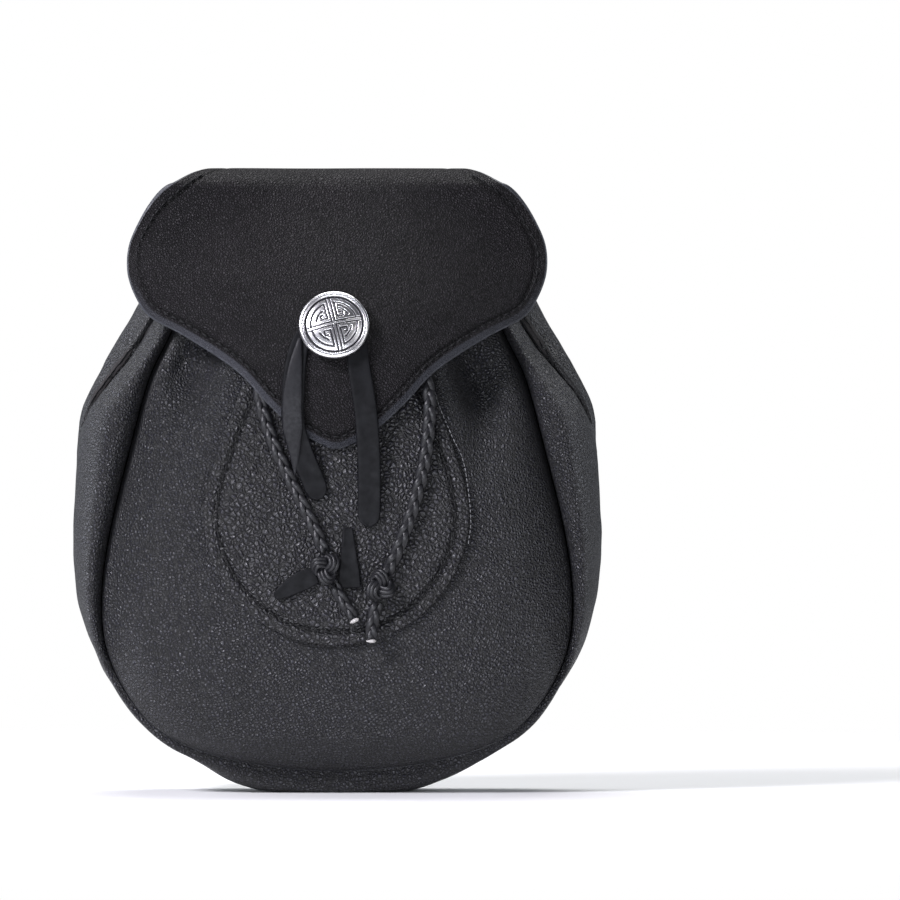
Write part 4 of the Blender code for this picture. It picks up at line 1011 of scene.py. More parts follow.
def patch_y(x, z):
    return front_y(x, z) - PATCH_GAP - PATCH_WALL


def patch_face(columns=120, steps=14):
    outline = patch_rows()
    share = 2 * crowded(columns + 1, power=1.4) - 1
    rows = []
    for place in np.linspace(0, len(outline) - 1, (len(outline) - 1) * steps + 1):
        z, half = smooth_row(outline, place)
        rows.append([(half * u, patch_y(half * u, z), z) for u in share])
    return np.array(rows)


grid = patch_face()
away = edge_distance(grid, open_edge(grid))
inside = np.clip((away - STITCH_INSET) / PUFF_REACH, 0, 1)
in_groove = bell(away - STITCH_INSET, STITCH_REACH)
blisters = (0.5 + slow_noise(grid, 0.0062, 4.4)) * BLISTER
blisters += (0.5 + slow_noise(grid, 0.0031, 9.2)) * BLISTER * 0.5
soft_edge = THIN_EDGE * np.clip(1 - away / THIN_REACH, 0, 1) ** 2
grid[..., 1] += STITCH_SINK * in_groove + soft_edge - blisters * inside
patch = closed_leather("patch_leather_piece", grid, PATCH_WALL, (HIDE_COARSE, HIDE_COARSE, FLESH_SIDE), 1)
# Painted shade: the stitch groove is darkened.
paint_share(patch, "painted_shade_share", 0.6 * in_groove)
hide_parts("front_patch")

# %% [markdown]
# ## Stitches
#
# Each stitch is a short loop of thread that bites into the leather at both ends. One stitch is
# made once as a small bent capsule, and copies of it are laid along a line on the surface.

# %% Lines on a surface and stitches along them
STITCH_LENGTH, STITCH_GAP, STITCH_WIDTH = 0.0030, 0.0009, 0.00042
STITCH_RINGS, STITCH_SIDES = 7, 6


def line_frames(points, outward):
    """Positions, directions along, and outward directions square to them."""
    along = np.gradient(points, axis=0)
    along /= np.maximum(np.linalg.norm(along, axis=1, keepdims=True), 1e-12)
    out = outward - along * np.sum(outward * along, axis=1, keepdims=True)
    out /= np.maximum(np.linalg.norm(out, axis=1, keepdims=True), 1e-12)
    return along, out


def mesh_piece(name, verts, faces, finish, body="pouch"):
    """A smooth piece of one finish, which moves with a body."""
    mesh = bpy.data.meshes.new(name)
    mesh.from_pydata(np.asarray(verts).tolist(), [], faces)
    mesh.shade_smooth()
    mesh.materials.append(finish)
    made = bpy.data.objects.new(name, mesh)
    bpy.context.scene.collection.objects.link(made)
    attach(made, body)
    print(name, len(faces), "faces")
    return made


def tube_rings(points, across_radius, out_radius, along, out, sides):
    """Rings of an oval tube round a line, with its wide way across the surface."""
    side = np.cross(along, out)
    angles = np.arange(sides) * 2 * math.pi / sides
    ring = side[:, None] * np.cos(angles)[None, :, None] * np.reshape(across_radius, (-1, 1, 1))
    ring = ring + out[:, None] * np.sin(angles)[None, :, None] * np.reshape(out_radius, (-1, 1, 1))
    return points[:, None] + ring


def ring_faces(rings, sides, first, closed=False):
    """Faces from each ring of points to the next, and from the last to the first if closed."""
    faces = []
    for r in range(rings if closed else rings - 1):
        near, far = first + r * sides, first + (r + 1) % rings * sides
        for s in range(sides):
            beside = (s + 1) % sides
            faces.append((near + s, near + beside, far + beside, far + s))
    return faces


def tube_faces(rings, sides, first):
    """Faces of a tube with both ends closed."""
    low = tuple(first + s for s in reversed(range(sides)))
    high = tuple(first + (rings - 1) * sides + s for s in range(sides))
    return ring_faces(rings, sides, first) + [low, high]


STITCH = (STITCH_LENGTH, STITCH_GAP, STITCH_WIDTH)


def stitch_row(name, points, outward, finish, sizes=STITCH):
    """Stitches along a line of points that lie on the surface."""
    length, gap, width = sizes
    along_all = along_line(points)
    count = int(along_all[-1] // (length + gap))
    pitch = along_all[-1] / count
    verts, faces = [], []
    for k in range(count):
        share = np.linspace(0, 1, STITCH_RINGS)
        at = k * pitch + (share - 0.5) * length + pitch / 2
        line = np.stack([np.interp(at, along_all, column) for column in points.T], axis=1)
        out = np.stack([np.interp(at, along_all, column) for column in outward.T], axis=1)
        along, out = line_frames(line, out)
        arch = np.sqrt(np.maximum(1 - (2 * share - 1) ** 2, 0))
        line = line + out * (width * (1.2 * arch - 0.75))[:, None]
        radius = width * (0.55 + 0.45 * arch)
        rings = tube_rings(line, radius, radius * 0.8, along, out, STITCH_SIDES)
        faces += tube_faces(STITCH_RINGS, STITCH_SIDES, len(verts) * STITCH_RINGS * STITCH_SIDES)
        verts.append(rings.reshape(-1, 3))
    return mesh_piece(name, np.concatenate(verts), faces, finish)


def line_inside(grid, inset):
    """A line on a sheet, a length inside its open edge, and the sheet's normals there."""
    edge = open_edge(grid)
    normal = grid_normals(grid).reshape(-1, 3)
    flat = grid.reshape(-1, 3)
    on_edge = np.array([np.argmin(((flat - point) ** 2).sum(1)) for point in edge])
    along = np.gradient(edge, axis=0)
    along /= np.maximum(np.linalg.norm(along, axis=1, keepdims=True), 1e-12)
    inward = edge + np.cross(normal[on_edge], along) * inset
    outward = edge - np.cross(normal[on_edge], along) * inset
    centre = flat.mean(0)
    if np.linalg.norm(outward - centre, axis=1).mean() < np.linalg.norm(inward - centre, axis=1).mean():
        inward = outward
    away = edge_distance(inward[:, None], edge)[:, 0]
    kept = inward[away > 0.96 * inset]
    near = np.array([np.argmin(((flat - point) ** 2).sum(1)) for point in kept])
    off = np.sum((kept - flat[near]) * normal[near], axis=1, keepdims=True)
    print("line inside an edge", len(kept), "points")
    return kept - normal[near] * off, normal[near]


print("one stitch is", 1000 * STITCH_LENGTH, "mm")

# %% Patch stitches, and pale dots beside them as a painted highlight
line, outward = line_inside(patch_face(), STITCH_INSET)
smooth = resample(line, 240)
patch_stitches = stitch_row("patch_stitches", smooth, resample(outward, 240), THREAD)
# Painted highlight: a dotted pale line stands where the edge beside the patch catches the light.
HIGHLIGHT_DOT_LINE = (
    (0.0385, 0.1680), (0.0420, 0.1572), (0.0468, 0.1458), (0.0518, 0.1342), (0.0545, 0.1130),
    (0.0535, 0.1016),
)  # fmt: skip
HIGHLIGHT_DOT_SIZES = (0.0015, 0.0006, 0.00019)


def smooth_line(points, count):
    """A smooth curve through a few points, with a number of points that lie evenly."""
    points = np.asarray(points, float)
    fine = [smooth_row(points, place) for place in np.linspace(0, len(points) - 1, 12 * len(points))]
    return resample(np.array(fine), count)


flat_line = smooth_line(HIGHLIGHT_DOT_LINE, 60)
highlight_dot_points = np.array([(x, min(front_y(x, z), patch_y(x, z) + 0.0008) - 0.0001, z) for x, z in flat_line])
highlight_dot_outward = np.tile((0.3, -1.0, 0.0), (60, 1))
highlight_dots = stitch_row("painted_highlight_line", highlight_dot_points, highlight_dot_outward, PAINTED_HIGHLIGHT_DOTS, HIGHLIGHT_DOT_SIZES)

# %% Flap stitches
FLAP_FRONT_END, FLAP_BACK_START = 17, 24
face = flap_face()
front_part = face[: FLAP_FRONT_END * FLAP_STEPS]
line, outward = line_inside(front_part, FLAP_STITCH_INSET)
flap_stitches = stitch_row("flap_stitches", resample(line, 420), resample(outward, 420), THREAD)
back_part = face[FLAP_BACK_START * FLAP_STEPS :][::-1]
line, outward = line_inside(back_part, FLAP_STITCH_INSET)
round_stitches = stitch_row("round_stitches", resample(line, 360), -resample(outward, 360), THREAD)

# %% [markdown]
# ## How straps and cords lie
#
# A limp strap follows the leather under it, but it never bends into a hollow: it spans it, as a
# rope spans the dip between two posts. Its route is given across and up, and the surface and this
# rule give how far forward it lies.

# %% Draped lines


def under_flap_y(x, z):
    """The front of the patch or, beside it, of the panel."""
    return float(patch_y(x, z)) if abs(x) < patch_half_width(z) else float(front_y(x, z))


def outer_y(x, z):
    """The front of whatever leather is outermost: flap, patch or panel."""
    heights, _, halves, _ = FLAP_FRONT_ROWS.T
    if heights[0] < z and abs(x) < np.interp(z, heights, halves):
        return float(flap_front_y(x, z))
    return under_flap_y(x, z)


def clear_of(surface, x, z, reach):
    """The most forward place of a surface within reach."""
    steps = (-reach, 0, reach)
    return min(surface(x + a, z + b) for a in steps for b in steps)


def hull_forward(along, forward):
    """The line that a limp strap takes over its supports."""
    line = forward.copy()
    for a in range(len(along)):
        for b in range(a + 2, len(along)):
            between = np.arange(a + 1, b)
            span = np.interp(along[between], along[[a, b]], forward[[a, b]])
            line[between] = np.minimum(line[between], span)
    return line


def draped(points, width, lift, surface, count):
    """The line of a limp strap or cord over a surface, from its route across and up."""
    flat = smooth_line(points, 90)
    forward = np.array([clear_of(surface, x, z, width / 2) - lift for x, z in flat])
    forward = hull_forward(along_line(flat), forward)
    return resample(np.stack([flat[:, 0], forward, flat[:, 1]], axis=1), count)


print("draping ready")

# %% [markdown]
# ## The thongs
#
# Two flat thongs hang from under the button. They are smooth and dull. The left one is wide and
# folded over itself: a paler layer tapers away in front of a darker one that turns under it.

# %% Straps
THONG_WIDTH, THONG_THICKNESS = 0.008, 0.0012
THONG_LIFT, THONG_BED, THONG_CURL = REST_GAP + THONG_THICKNESS, 0.0008, 0.0002
THONG_LEFT = (
    (-0.0085, 0.1905), (-0.0138, 0.1850), (-0.0163, 0.1750), (-0.0174, 0.1620), (-0.0172, 0.1500),
    (-0.0140, 0.1390), (-0.0096, 0.1285), (-0.0068, 0.1205),
)  # fmt: skip
THONG_RIGHT = (
    (0.0050, 0.1905), (0.0080, 0.1840), (0.0096, 0.1720), (0.0120, 0.1560), (0.0132, 0.1400),
    (0.0135, 0.1250), (0.0132, 0.1095),
)  # fmt: skip


def cross_slope(surface, x, z, side, reach):
    """How much a surface falls back across a strap."""
    ends = [surface(x + sign * side[0] * reach, z + sign * side[2] * reach) for sign in (-1, 1)]
    return min(max((ends[1] - ends[0]) / (2 * reach), -0.45), 0.45)


def strap(name, line, widths, thickness, surface, finish, curl=0.0, columns=8):
    """A flat strap down a line, laid parallel to the surface, its edges curled up a little."""
    grid = []
    for point, ahead, behind, width in zip(line, [*line[1:], line[-1]], [line[0], *line[:-1]], widths):
        along = (ahead - behind) / np.linalg.norm(ahead - behind)
        side = np.cross(along, (0.0, 1.0, 0.0))
        side /= np.linalg.norm(side)
        side[1] = cross_slope(surface, point[0], point[2], side, 0.002)
        across = np.linspace(-1, 1, columns + 1)
        grid.append([point + side * width * u / 2 - np.array((0, curl * u * u, 0)) for u in across])
    return closed_leather(name, np.array(grid), thickness, (finish, finish, finish), -1)


def strap_widths(count, full, start, tip, rounding):
    """Widths down a strap: from its start share to full, then rounded off or tapered at its tip."""
    share = np.linspace(0, 1, count)
    widths = full * np.interp(share, (0, 0.35, 1), (start, 1, 1))
    near = np.clip((share - (1 - rounding)) / rounding, 0, 1)
    return np.maximum(widths * (tip + (1 - tip) * np.sqrt(1 - near**2)), 0.0004)


def declare_strap(node):
    """The strap takes its solid's place: the solid is hidden."""
    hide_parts(node)


line = draped(THONG_RIGHT, THONG_BED, THONG_LIFT, outer_y, 60)
widths = strap_widths(60, THONG_WIDTH, start=0.92, tip=0.12, rounding=0.055)
thong_right = strap(
    "thong_right_strap", line, widths, THONG_THICKNESS, flap_front_y, THONG_HIDE, THONG_CURL
)
declare_strap("thong_right")

# %% Left thong and the layer folded over it
FOLD_RIGHT_EDGE = (
    (-0.0141, 0.1850), (-0.0141, 0.1700), (-0.0141, 0.1560), (-0.0142, 0.1440), (-0.0163, 0.1300),
)  # fmt: skip
FOLD_SHARES = (0.00, 0.20, 0.42, 0.66, 0.80, 1.00)
FOLD_WIDTHS = (0.0012, 0.0048, 0.0070, 0.0074, 0.0044, 0.0007)
FOLD_THICKNESS, FOLD_GAP = 0.0009, 0.0003
line = draped(THONG_LEFT, THONG_BED, THONG_LIFT, outer_y, 60)
widths = strap_widths(60, THONG_WIDTH, start=0.62, tip=0.2, rounding=0.07)
thong_left = strap(
    "thong_left_strap", line, widths, THONG_THICKNESS, flap_front_y, THONG_HIDE, THONG_CURL
)
share = np.linspace(0, 1, 50)
layer_widths = np.interp(share, FOLD_SHARES, FOLD_WIDTHS)
edge_line_flat = smooth_line(FOLD_RIGHT_EDGE, 50)
layer_flat = edge_line_flat - np.stack([layer_widths / 2, 0 * share], axis=1)
layer_lift = THONG_LIFT + THONG_THICKNESS + FOLD_GAP
layer_line = draped(layer_flat[::7], THONG_BED, layer_lift, outer_y, 50)
FOLD_HIDE = plain_finish(
    "thong_fold", (0.005, 0.005, 0.0065), (0.011, 0.011, 0.0135), (0.42, 0.58),
    speckle=0.0014, depth=0.0001, specular=0.2,
)  # fmt: skip
thong_fold = strap(
    "thong_left_fold", layer_line, layer_widths, FOLD_THICKNESS, flap_front_y, FOLD_HIDE, -THONG_CURL
)
declare_strap("thong_left")

# %% [markdown]
# ## The braided drawcord
#
# Three leather laces are plaited into a cord about 4 mm wide. In a plait each lace swings from side
# to side while it passes over and under the others, twice as often: a figure of eight, seen from
# the end. So one formula with three phases gives the whole braid along any line.

# %% A braid along a line
BRAID_PITCH, BRAID_SPREAD, BRAID_DEPTH = 0.0195, 0.00146, 0.00088
LACE_WIDTH, LACE_THICKNESS = 0.00132, 0.00064


def braid(name, path, outward, finish, spacing=0.0006, sides=8, pitch=BRAID_PITCH, size=1.0):
    """Three plaited laces round a line, as one closed mesh for each lace."""
    count = max(int(along_line(path)[-1] / spacing), 12)
    line, out = resample(path, count), resample(outward, count)
    along, out = line_frames(line, out)
    side = np.cross(along, out)
    phase = along_line(line) / pitch * 2 * math.pi
    verts, faces = [], []
    for strand in range(3):
        turn = phase + strand * 2 * math.pi / 3
        swing = side * (size * BRAID_SPREAD * np.sin(turn))[:, None]
        lift = out * (size * BRAID_DEPTH * np.sin(2 * turn))[:, None]
        lace = line + swing + lift
        lace_along, lace_out = line_frames(lace, out + side * (0.25 * np.sin(turn))[:, None])
        tips = np.clip(np.minimum(np.arange(count), np.arange(count)[::-1]) / 3, 0.35, 1)
        wide, thick = size * LACE_WIDTH * tips, size * LACE_THICKNESS * tips
        rings = tube_rings(lace, wide, thick, lace_along, lace_out, sides)
        faces += tube_faces(count, sides, len(verts) * count * sides)
        verts.append(rings.reshape(-1, 3))
    made = mesh_piece(name, np.concatenate(verts), faces, finish)
    return made, line


print("a lace comes round every", 1000 * BRAID_PITCH, "mm")

# %% [markdown]
# ## Knots and tails
#
# Each end of the drawcord is tied in a small knot, and its laces stick out below it, cut off short.
# A trefoil is the simplest real knot. Drawn with three laces side by side and pressed flat, it
# shows the wraps of such a knot.

# %% Knots
CORD_RADIUS, CORD_LIFT = 0.0020, 0.0024
KNOT_RADIUS = 0.0056
KNOT_PLACES = {"left": (-0.0041, 0.0921, -0.5), "right": (0.0180, 0.0850, 0.6)}
KNOT_LOOP, KNOT_LANE = 0.0051, 0.00150
KNOT_PRESS = (1.0, 0.9, 1.12)
KNOT_LACE_WIDE, KNOT_LACE_THICK, KNOT_LANE_DROP = 0.62, 0.52, 0.0004
KNOT_POINTS, KNOT_SIDES = 130, 10


def knot(name, x, z, turned):
    """A pressed trefoil of three laces side by side."""
    centre = np.array((x, under_flap_y(x, z) - KNOT_RADIUS * 0.8 - REST_GAP - 0.0002, z))
    t = np.linspace(0, 2 * math.pi, KNOT_POINTS, endpoint=False)
    flat_x = np.sin(t) + 2 * np.sin(2 * t)
    flat_z = np.cos(t) - 2 * np.cos(2 * t)
    loop = np.stack([flat_x, -1.25 * np.sin(3 * t), flat_z], axis=1) * KNOT_LOOP / 3
    cos_t, sin_t = math.cos(turned), math.sin(turned)
    spin = np.array([[cos_t, 0, sin_t], [0, 1, 0], [-sin_t, 0, cos_t]])
    loop = loop @ spin.T * KNOT_PRESS
    along = np.roll(loop, -1, axis=0) - np.roll(loop, 1, axis=0)
    along /= np.linalg.norm(along, axis=1, keepdims=True)
    out = loop * (0.35, 1.0, 0.35) + (0, -0.0016, 0)
    out -= along * np.sum(out * along, axis=1, keepdims=True)
    out /= np.linalg.norm(out, axis=1, keepdims=True)
    side = np.cross(along, out)
    verts, faces = [], []
    for lane in (-1, 0, 1):
        middle = centre + loop + side * lane * KNOT_LANE - out * abs(lane) * KNOT_LANE_DROP
        wide, thick = KNOT_LANE * KNOT_LACE_WIDE, KNOT_LANE * KNOT_LACE_THICK
        rings = tube_rings(middle, wide, thick, along, out, KNOT_SIDES)
        first = len(verts) * KNOT_POINTS * KNOT_SIDES
        faces += ring_faces(KNOT_POINTS, KNOT_SIDES, first, closed=True)
        verts.append(rings.reshape(-1, 3))
    made = mesh_piece(name, np.concatenate(verts), faces, LACE_HIDE)
    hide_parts(name.replace("_laces", ""))
    return made


KNOTS = {side: knot(f"knot_{side}_laces", *place) for side, place in KNOT_PLACES.items()}

# %% Tails and tabs
TAIL_LEFT = ((-0.0010, 0.0860), (0.0022, 0.0800), (0.0058, 0.0745), (0.0075, 0.0710))
TAIL_RIGHT = ((0.0168, 0.0785), (0.0155, 0.0740), (0.0145, 0.0680), (0.0143, 0.0628))
TAIL_RADIUS = 0.0024
CUT_END_RADII = (0.0013, 0.0017, 0.0020, 0.0021, 0.0017, 0.0009)
FORWARD = (0.0, -1.0, 0.0)
TAB_LOW = ((-0.0085, 0.0893), (-0.0160, 0.0858), (-0.0243, 0.0808))
TAB_HIGH = ((0.0048, 0.1080), (0.0052, 0.0960), (0.0055, 0.0845))


def tail(side, points):
    """The laces below a knot, running side by side to a pale cut end."""
    line = draped(points, TAIL_RADIUS, TAIL_RADIUS + 0.0008, under_flap_y, 26)
    outward = np.tile(FORWARD, (26, 1))
    made, _ = braid(f"tail_{side}_laces", line, outward, LACE_HIDE, pitch=0.019, size=0.95)
    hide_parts(f"tail_{side}")
    end = resample(np.stack([line[-2], line[-1] + (line[-1] - line[-2]) * 1.3]), 6)
    along, out = line_frames(end, np.tile(FORWARD, (6, 1)))
    radius = np.array(CUT_END_RADII)
    rings = tube_rings(end, radius, radius * 0.7, along, out, 9)
    tip = mesh_piece(f"tail_{side}_cut_end", rings.reshape(-1, 3), tube_faces(6, 9, 0), LACE_CUT)
    return [made, tip]


TAILS = {"left": tail("left", TAIL_LEFT), "right": tail("right", TAIL_RIGHT)}
TAB_WIDTHS = {
    "low": (0.0060, 0.0072, 0.0066, 0.0052, 0.0022),
    "high": (0.0030, 0.0044, 0.0058, 0.0074, 0.0082),
}
TAB_THICKNESS = 0.0010
for name, points in (("low", TAB_LOW), ("high", TAB_HIGH)):
    line = draped(points, 0.004, THONG_LIFT, under_flap_y, 24)
    widths = np.interp(np.linspace(0, 1, 24), np.linspace(0, 1, 5), TAB_WIDTHS[name])
    tab = strap(
        f"knot_tab_{name}_strip", line, widths, TAB_THICKNESS, under_flap_y, THONG_HIDE, THONG_CURL
    )
    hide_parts(f"knot_tab_{name}")

# %% Free ends of the drawcord
CORD_LEFT = (
    (-0.0255, 0.2270), (-0.0275, 0.2100), (-0.0300, 0.1900), (-0.0315, 0.1720), (-0.0305, 0.1590),
    (-0.0262, 0.1450), (-0.0205, 0.1320), (-0.0140, 0.1190), (-0.0085, 0.1080), (-0.0052, 0.1000),
)  # fmt: skip
CORD_RIGHT = (
    (0.0255, 0.2270), (0.0280, 0.2100), (0.0320, 0.1900), (0.0355, 0.1740), (0.0378, 0.1600),
    (0.0372, 0.1450), (0.0350, 0.1310), (0.0315, 0.1175), (0.0270, 0.1045), (0.0228, 0.0945),
    (0.0205, 0.0905),
)  # fmt: skip


def free_cord(side, points):
    """A braided end that hangs from the mouth down to its knot."""
    line = draped(points, 0.005, CORD_LIFT, under_flap_y, 44)
    line = np.concatenate([line, [line[-1] + (line[-1] - line[-2]) * 0.5]])
    outward = np.tile(FORWARD, (len(line), 1))
    made, _ = braid(f"drawcord_{side}_braid", line, outward, LACE_HIDE)
    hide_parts(f"drawcord_{side}")


free_cord("left", CORD_LEFT)
free_cord("right", CORD_RIGHT)

# %% [markdown]
# ## The drawcord round the mouth
#
# From the front the cord runs round the outside of the mouth, over the gusset and along the back,
# until it dives through a slot in the flap, shows for a moment above the hanger plate, and goes in
# again on the other side.

# %% The cord's run
CORD_END_X = 0.0255
SLOT_HEIGHT, SLOT_X = ROLL_Z + 0.0057, 0.0078
SLOT_COLUMNS = ("x_beyond_slot", "share_of_the_way_out", "drop")
SLOT_RUN = (
    (0.0065, -0.08, 0.0020),
    (0.0040, 0.14, 0.0003),
    (0.0012, 0.52, 0.0000),
    (-0.0018, 0.97, 0.0000),
    (-0.0044, 1.10, 0.0000),
)


def front_run(lift):
    """Places of the cord on the front, from where its free end leaves it to the seam."""
    seam_x = np.interp(CORD_HEIGHT_FRONT, *FRONT_SEAM[:2])
    run = []
    for x in np.linspace(CORD_END_X - 0.001, seam_x - 0.004, 5):
        ahead = clear_of(lambda a, b: float(front_y(a, b)), x, CORD_HEIGHT_FRONT, 0.004)
        run.append((x, ahead - lift, CORD_HEIGHT_FRONT))
    return run


def neck_run():
    """The run on the +X side, from the front to the middle of the back, and its outward ways."""
    lift = CORD_LIFT + REST_GAP
    run = front_run(lift)
    ways = [FORWARD] * len(run)
    outer = resample(gusset_section(LAST_RIB - 0.5), 9)
    for before, point, after in zip(outer[:-2], outer[1:-1], outer[2:]):
        along = after - before
        out = np.array([along[1], -along[0], 0])
        out /= np.linalg.norm(out)
        lifted = point + out * (lift + 0.0006)
        share = min(max((lifted[1] - outer[0][1]) / (outer[-1][1] - outer[0][1]), 0), 1)
        lifted[2] = CORD_HEIGHT_FRONT + (CORD_HEIGHT_BACK - CORD_HEIGHT_FRONT) * share
        run.append(tuple(lifted))
        ways.append(tuple(out))
    corner = outer[-1] + (lift + 0.0012, lift + PANEL_WALL + 0.0012, 0)
    run.append((corner[0], corner[1], CORD_HEIGHT_BACK))
    ways.append((0.7, 0.7, 0))
    for x in np.linspace(np.interp(CORD_HEIGHT_BACK, *BACK_SEAM[:2]) - 0.009, SLOT_X + 0.012, 6):
        run.append((x, float(back_y(x, CORD_HEIGHT_BACK - 0.003)) + lift, CORD_HEIGHT_BACK))
        ways.append((0, 1, 0))
    rise = SLOT_HEIGHT - ROLL_Z
    inside = ROLL_Y + math.sqrt((ROLL_RADIUS - FLAP_WALL - CORD_LIFT) ** 2 - rise**2)
    outside = ROLL_Y + math.sqrt((ROLL_RADIUS + CORD_LIFT) ** 2 - rise**2)
    for x, share, drop in SLOT_RUN:
        run.append((SLOT_X + x, inside + (outside - inside) * share, SLOT_HEIGHT - drop))
        ways.append((0, 1, 0.3))
    run.append((0, outside + 0.0008, SLOT_HEIGHT))
    ways.append((0, 1, 0.3))
    return np.array(run), np.array(ways, float)


def rounded(points, times):
    """A line of points with its corners cut, so that it never swings out past them."""
    for _ in range(times):
        near = points[:-1] * 0.75 + points[1:] * 0.25
        far = points[:-1] * 0.25 + points[1:] * 0.75
        middle = np.stack([near, far], axis=1).reshape(-1, points.shape[1])
        points = np.concatenate([points[:1], middle[1:-1], points[-1:]])
    return points


one_side = np.hstack(neck_run())
other_side = one_side[-2::-1] * (-1, 1, 1, -1, 1, 1)
both = rounded(np.concatenate([one_side, other_side]), 3)
neck_braid, neck_line = braid("drawcord_neck_braid", both[:, :3], both[:, 3:], LACE_HIDE, spacing=0.0008)
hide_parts("drawcord_neck")
print("the mouth's cord is", round(1000 * along_line(neck_line)[-1]), "mm long")

# %% [markdown]
# ## The cast button
#
# The button is cast in white metal: a low dome inside a double rim, parted by a cross into four
# fields, with a plain key pattern in each. Its face is a fine net of rings and spokes, raised by a
# function of the place on it. Tarnish stays in the low parts, so they are kept as a dark share.

# %% Relief of the button
BUTTON_RADIUS = 0.01425
BUTTON_ACROSS, BUTTON_DROP = -0.0008, 0.0668
BUTTON_TURN = math.radians(14)
FACE_RADIUS, RELIEF = 0.0116, 0.00060
GROOVE_HALF, GROOVE_SOFT = 0.00032, 0.00016
KEY_ARC, INNER_ARC = 0.0094, 0.0071
CROSS_GROOVE, CROSS_SOFT = (0.00045, 0.0010), 0.00014
FIELD_END, CHANNEL = (0.0112, 0.0115), (0.0113, 0.0121)
RING_GROOVE, RING_GROOVE_SOFT, RING_GROOVE_DEPTH = (0.01275, 0.01310), 0.00012, 0.8
DOME_BASE, DOME_RISE, DOME_END = 0.0016, 0.0021, 0.0119
EDGE_BASE, EDGE_RISE, EDGE_MIDDLE, EDGE_HALF = 0.0012, 0.0010, 0.01295, 0.00135
KEY_CORNERS = ((0.0021, 0.0025), (0.0046, 0.0025), (0.0046, 0.0043), (0.0034, 0.0043))


def soft_step(value, low, high):
    """0 below one value, 1 above another, and an eased step between."""
    share = np.clip((value - low) / (high - low), 0, 1)
    return share * share * (3 - 2 * share)


def band(value, low, high, soft=0.00018):
    """1 between two values and 0 outside them, with soft sides."""
    return soft_step(value, low - soft, low + soft) * (1 - soft_step(value, high - soft, high + soft))


def arc_points(radius, low, high):
    """Points on an arc in one quarter, between two heights above its arms."""
    angles = np.linspace(math.asin(low / radius), math.acos(high / radius), 14)
    return [(radius * math.cos(angle), radius * math.sin(angle)) for angle in angles]


def line_distance(u, v, points):
    """The distance of each place from a line of points."""
    nearest = np.full(np.shape(u), 1.0)
    for (u0, v0), (u1, v1) in zip(points, points[1:]):
        length = (u1 - u0) ** 2 + (v1 - v0) ** 2
        share = np.clip(((u - u0) * (u1 - u0) + (v - v0) * (v1 - v0)) / length, 0, 1)
        nearest = np.minimum(nearest, np.hypot(u - u0 - share * (u1 - u0), v - v0 - share * (v1 - v0)))
    return nearest


def button_relief(a, b, radius):
    """1 on the raised parts of the face, 0 in its grooves. The four quarters mirror each other."""
    u, v = np.abs(a), np.abs(b)
    key = arc_points(KEY_ARC, 0.0011, KEY_CORNERS[0][0]) + list(KEY_CORNERS)
    lines = [line_distance(u, v, key), line_distance(u, v, arc_points(INNER_ARC, 0.0026, 0.0034))]
    engraved = np.minimum.reduce(lines)
    engraved = 1 - soft_step(engraved, GROOVE_HALF - GROOVE_SOFT, GROOVE_HALF + GROOVE_SOFT)
    beside_cross = band(np.minimum(u, v), *CROSS_GROOVE, CROSS_SOFT)
    inside = 1 - soft_step(radius, *FIELD_END)
    channel = band(radius, *CHANNEL)
    ring_groove = RING_GROOVE_DEPTH * band(radius, *RING_GROOVE, RING_GROOVE_SOFT)
    sunk = np.maximum.reduce([engraved * inside, beside_cross * inside, channel, ring_groove])
    return np.clip(1 - sunk, 0, 1)


def button_height(a, b):
    """The height of the face: a dome, a round edge outside it, and the relief on both."""
    radius = np.hypot(a, b)
    dome = DOME_RISE * (1 - (np.minimum(radius, FACE_RADIUS) / FACE_RADIUS) ** 2) + DOME_BASE
    round_share = np.maximum(1 - ((radius - EDGE_MIDDLE) / EDGE_HALF) ** 2, 0)
    edge = EDGE_BASE + EDGE_RISE * np.sqrt(round_share)
    base = np.where(radius > DOME_END, edge, dome)
    return base + RELIEF * button_relief(a, b, radius)


print("relief", 1000 * RELIEF, "mm")

# %% Button
BUTTON_RINGS, BUTTON_SPOKES = 104, 360
BUTTON_BACK = (
    (BUTTON_RADIUS, 0.0006), (BUTTON_RADIUS - 0.0006, 0.0), (0.0020, 0.0), (0.0020, -0.0046),
    (0.0050, -0.0046), (0.0050, -0.0058),
)  # fmt: skip
TARNISH, BRIGHT = (0.05, 0.05, 0.055), (0.90, 0.89, 0.91)


def turned_faces(loops, spokes, first):
    """Faces from each loop of a turned piece to the next, and a cap on the last."""
    faces = []
    for r in range(loops - 1):
        near, far = first + r * spokes, first + (r + 1) * spokes
        for s in range(spokes):
            ahead = (s + 1) % spokes
            faces.append((near + s, far + s, far + ahead, near + ahead))
    last = first + (loops - 1) * spokes
    return faces + [tuple(last + s for s in reversed(range(spokes)))]


def button_frame():
    """On the flap's front, with its Z axis out of the leather."""
    x, z = BUTTON_ACROSS, FLAP_TOP - BUTTON_DROP
    low, high = (flap_front_y(0, z + step) for step in (-0.006, 0.006))
    lean = math.atan2(high - low, 0.012)
    turn = Matrix.Rotation(math.pi / 2 - lean, 4, "X")
    return Matrix.Translation((x, float(flap_front_y(x, z)), z)) @ turn


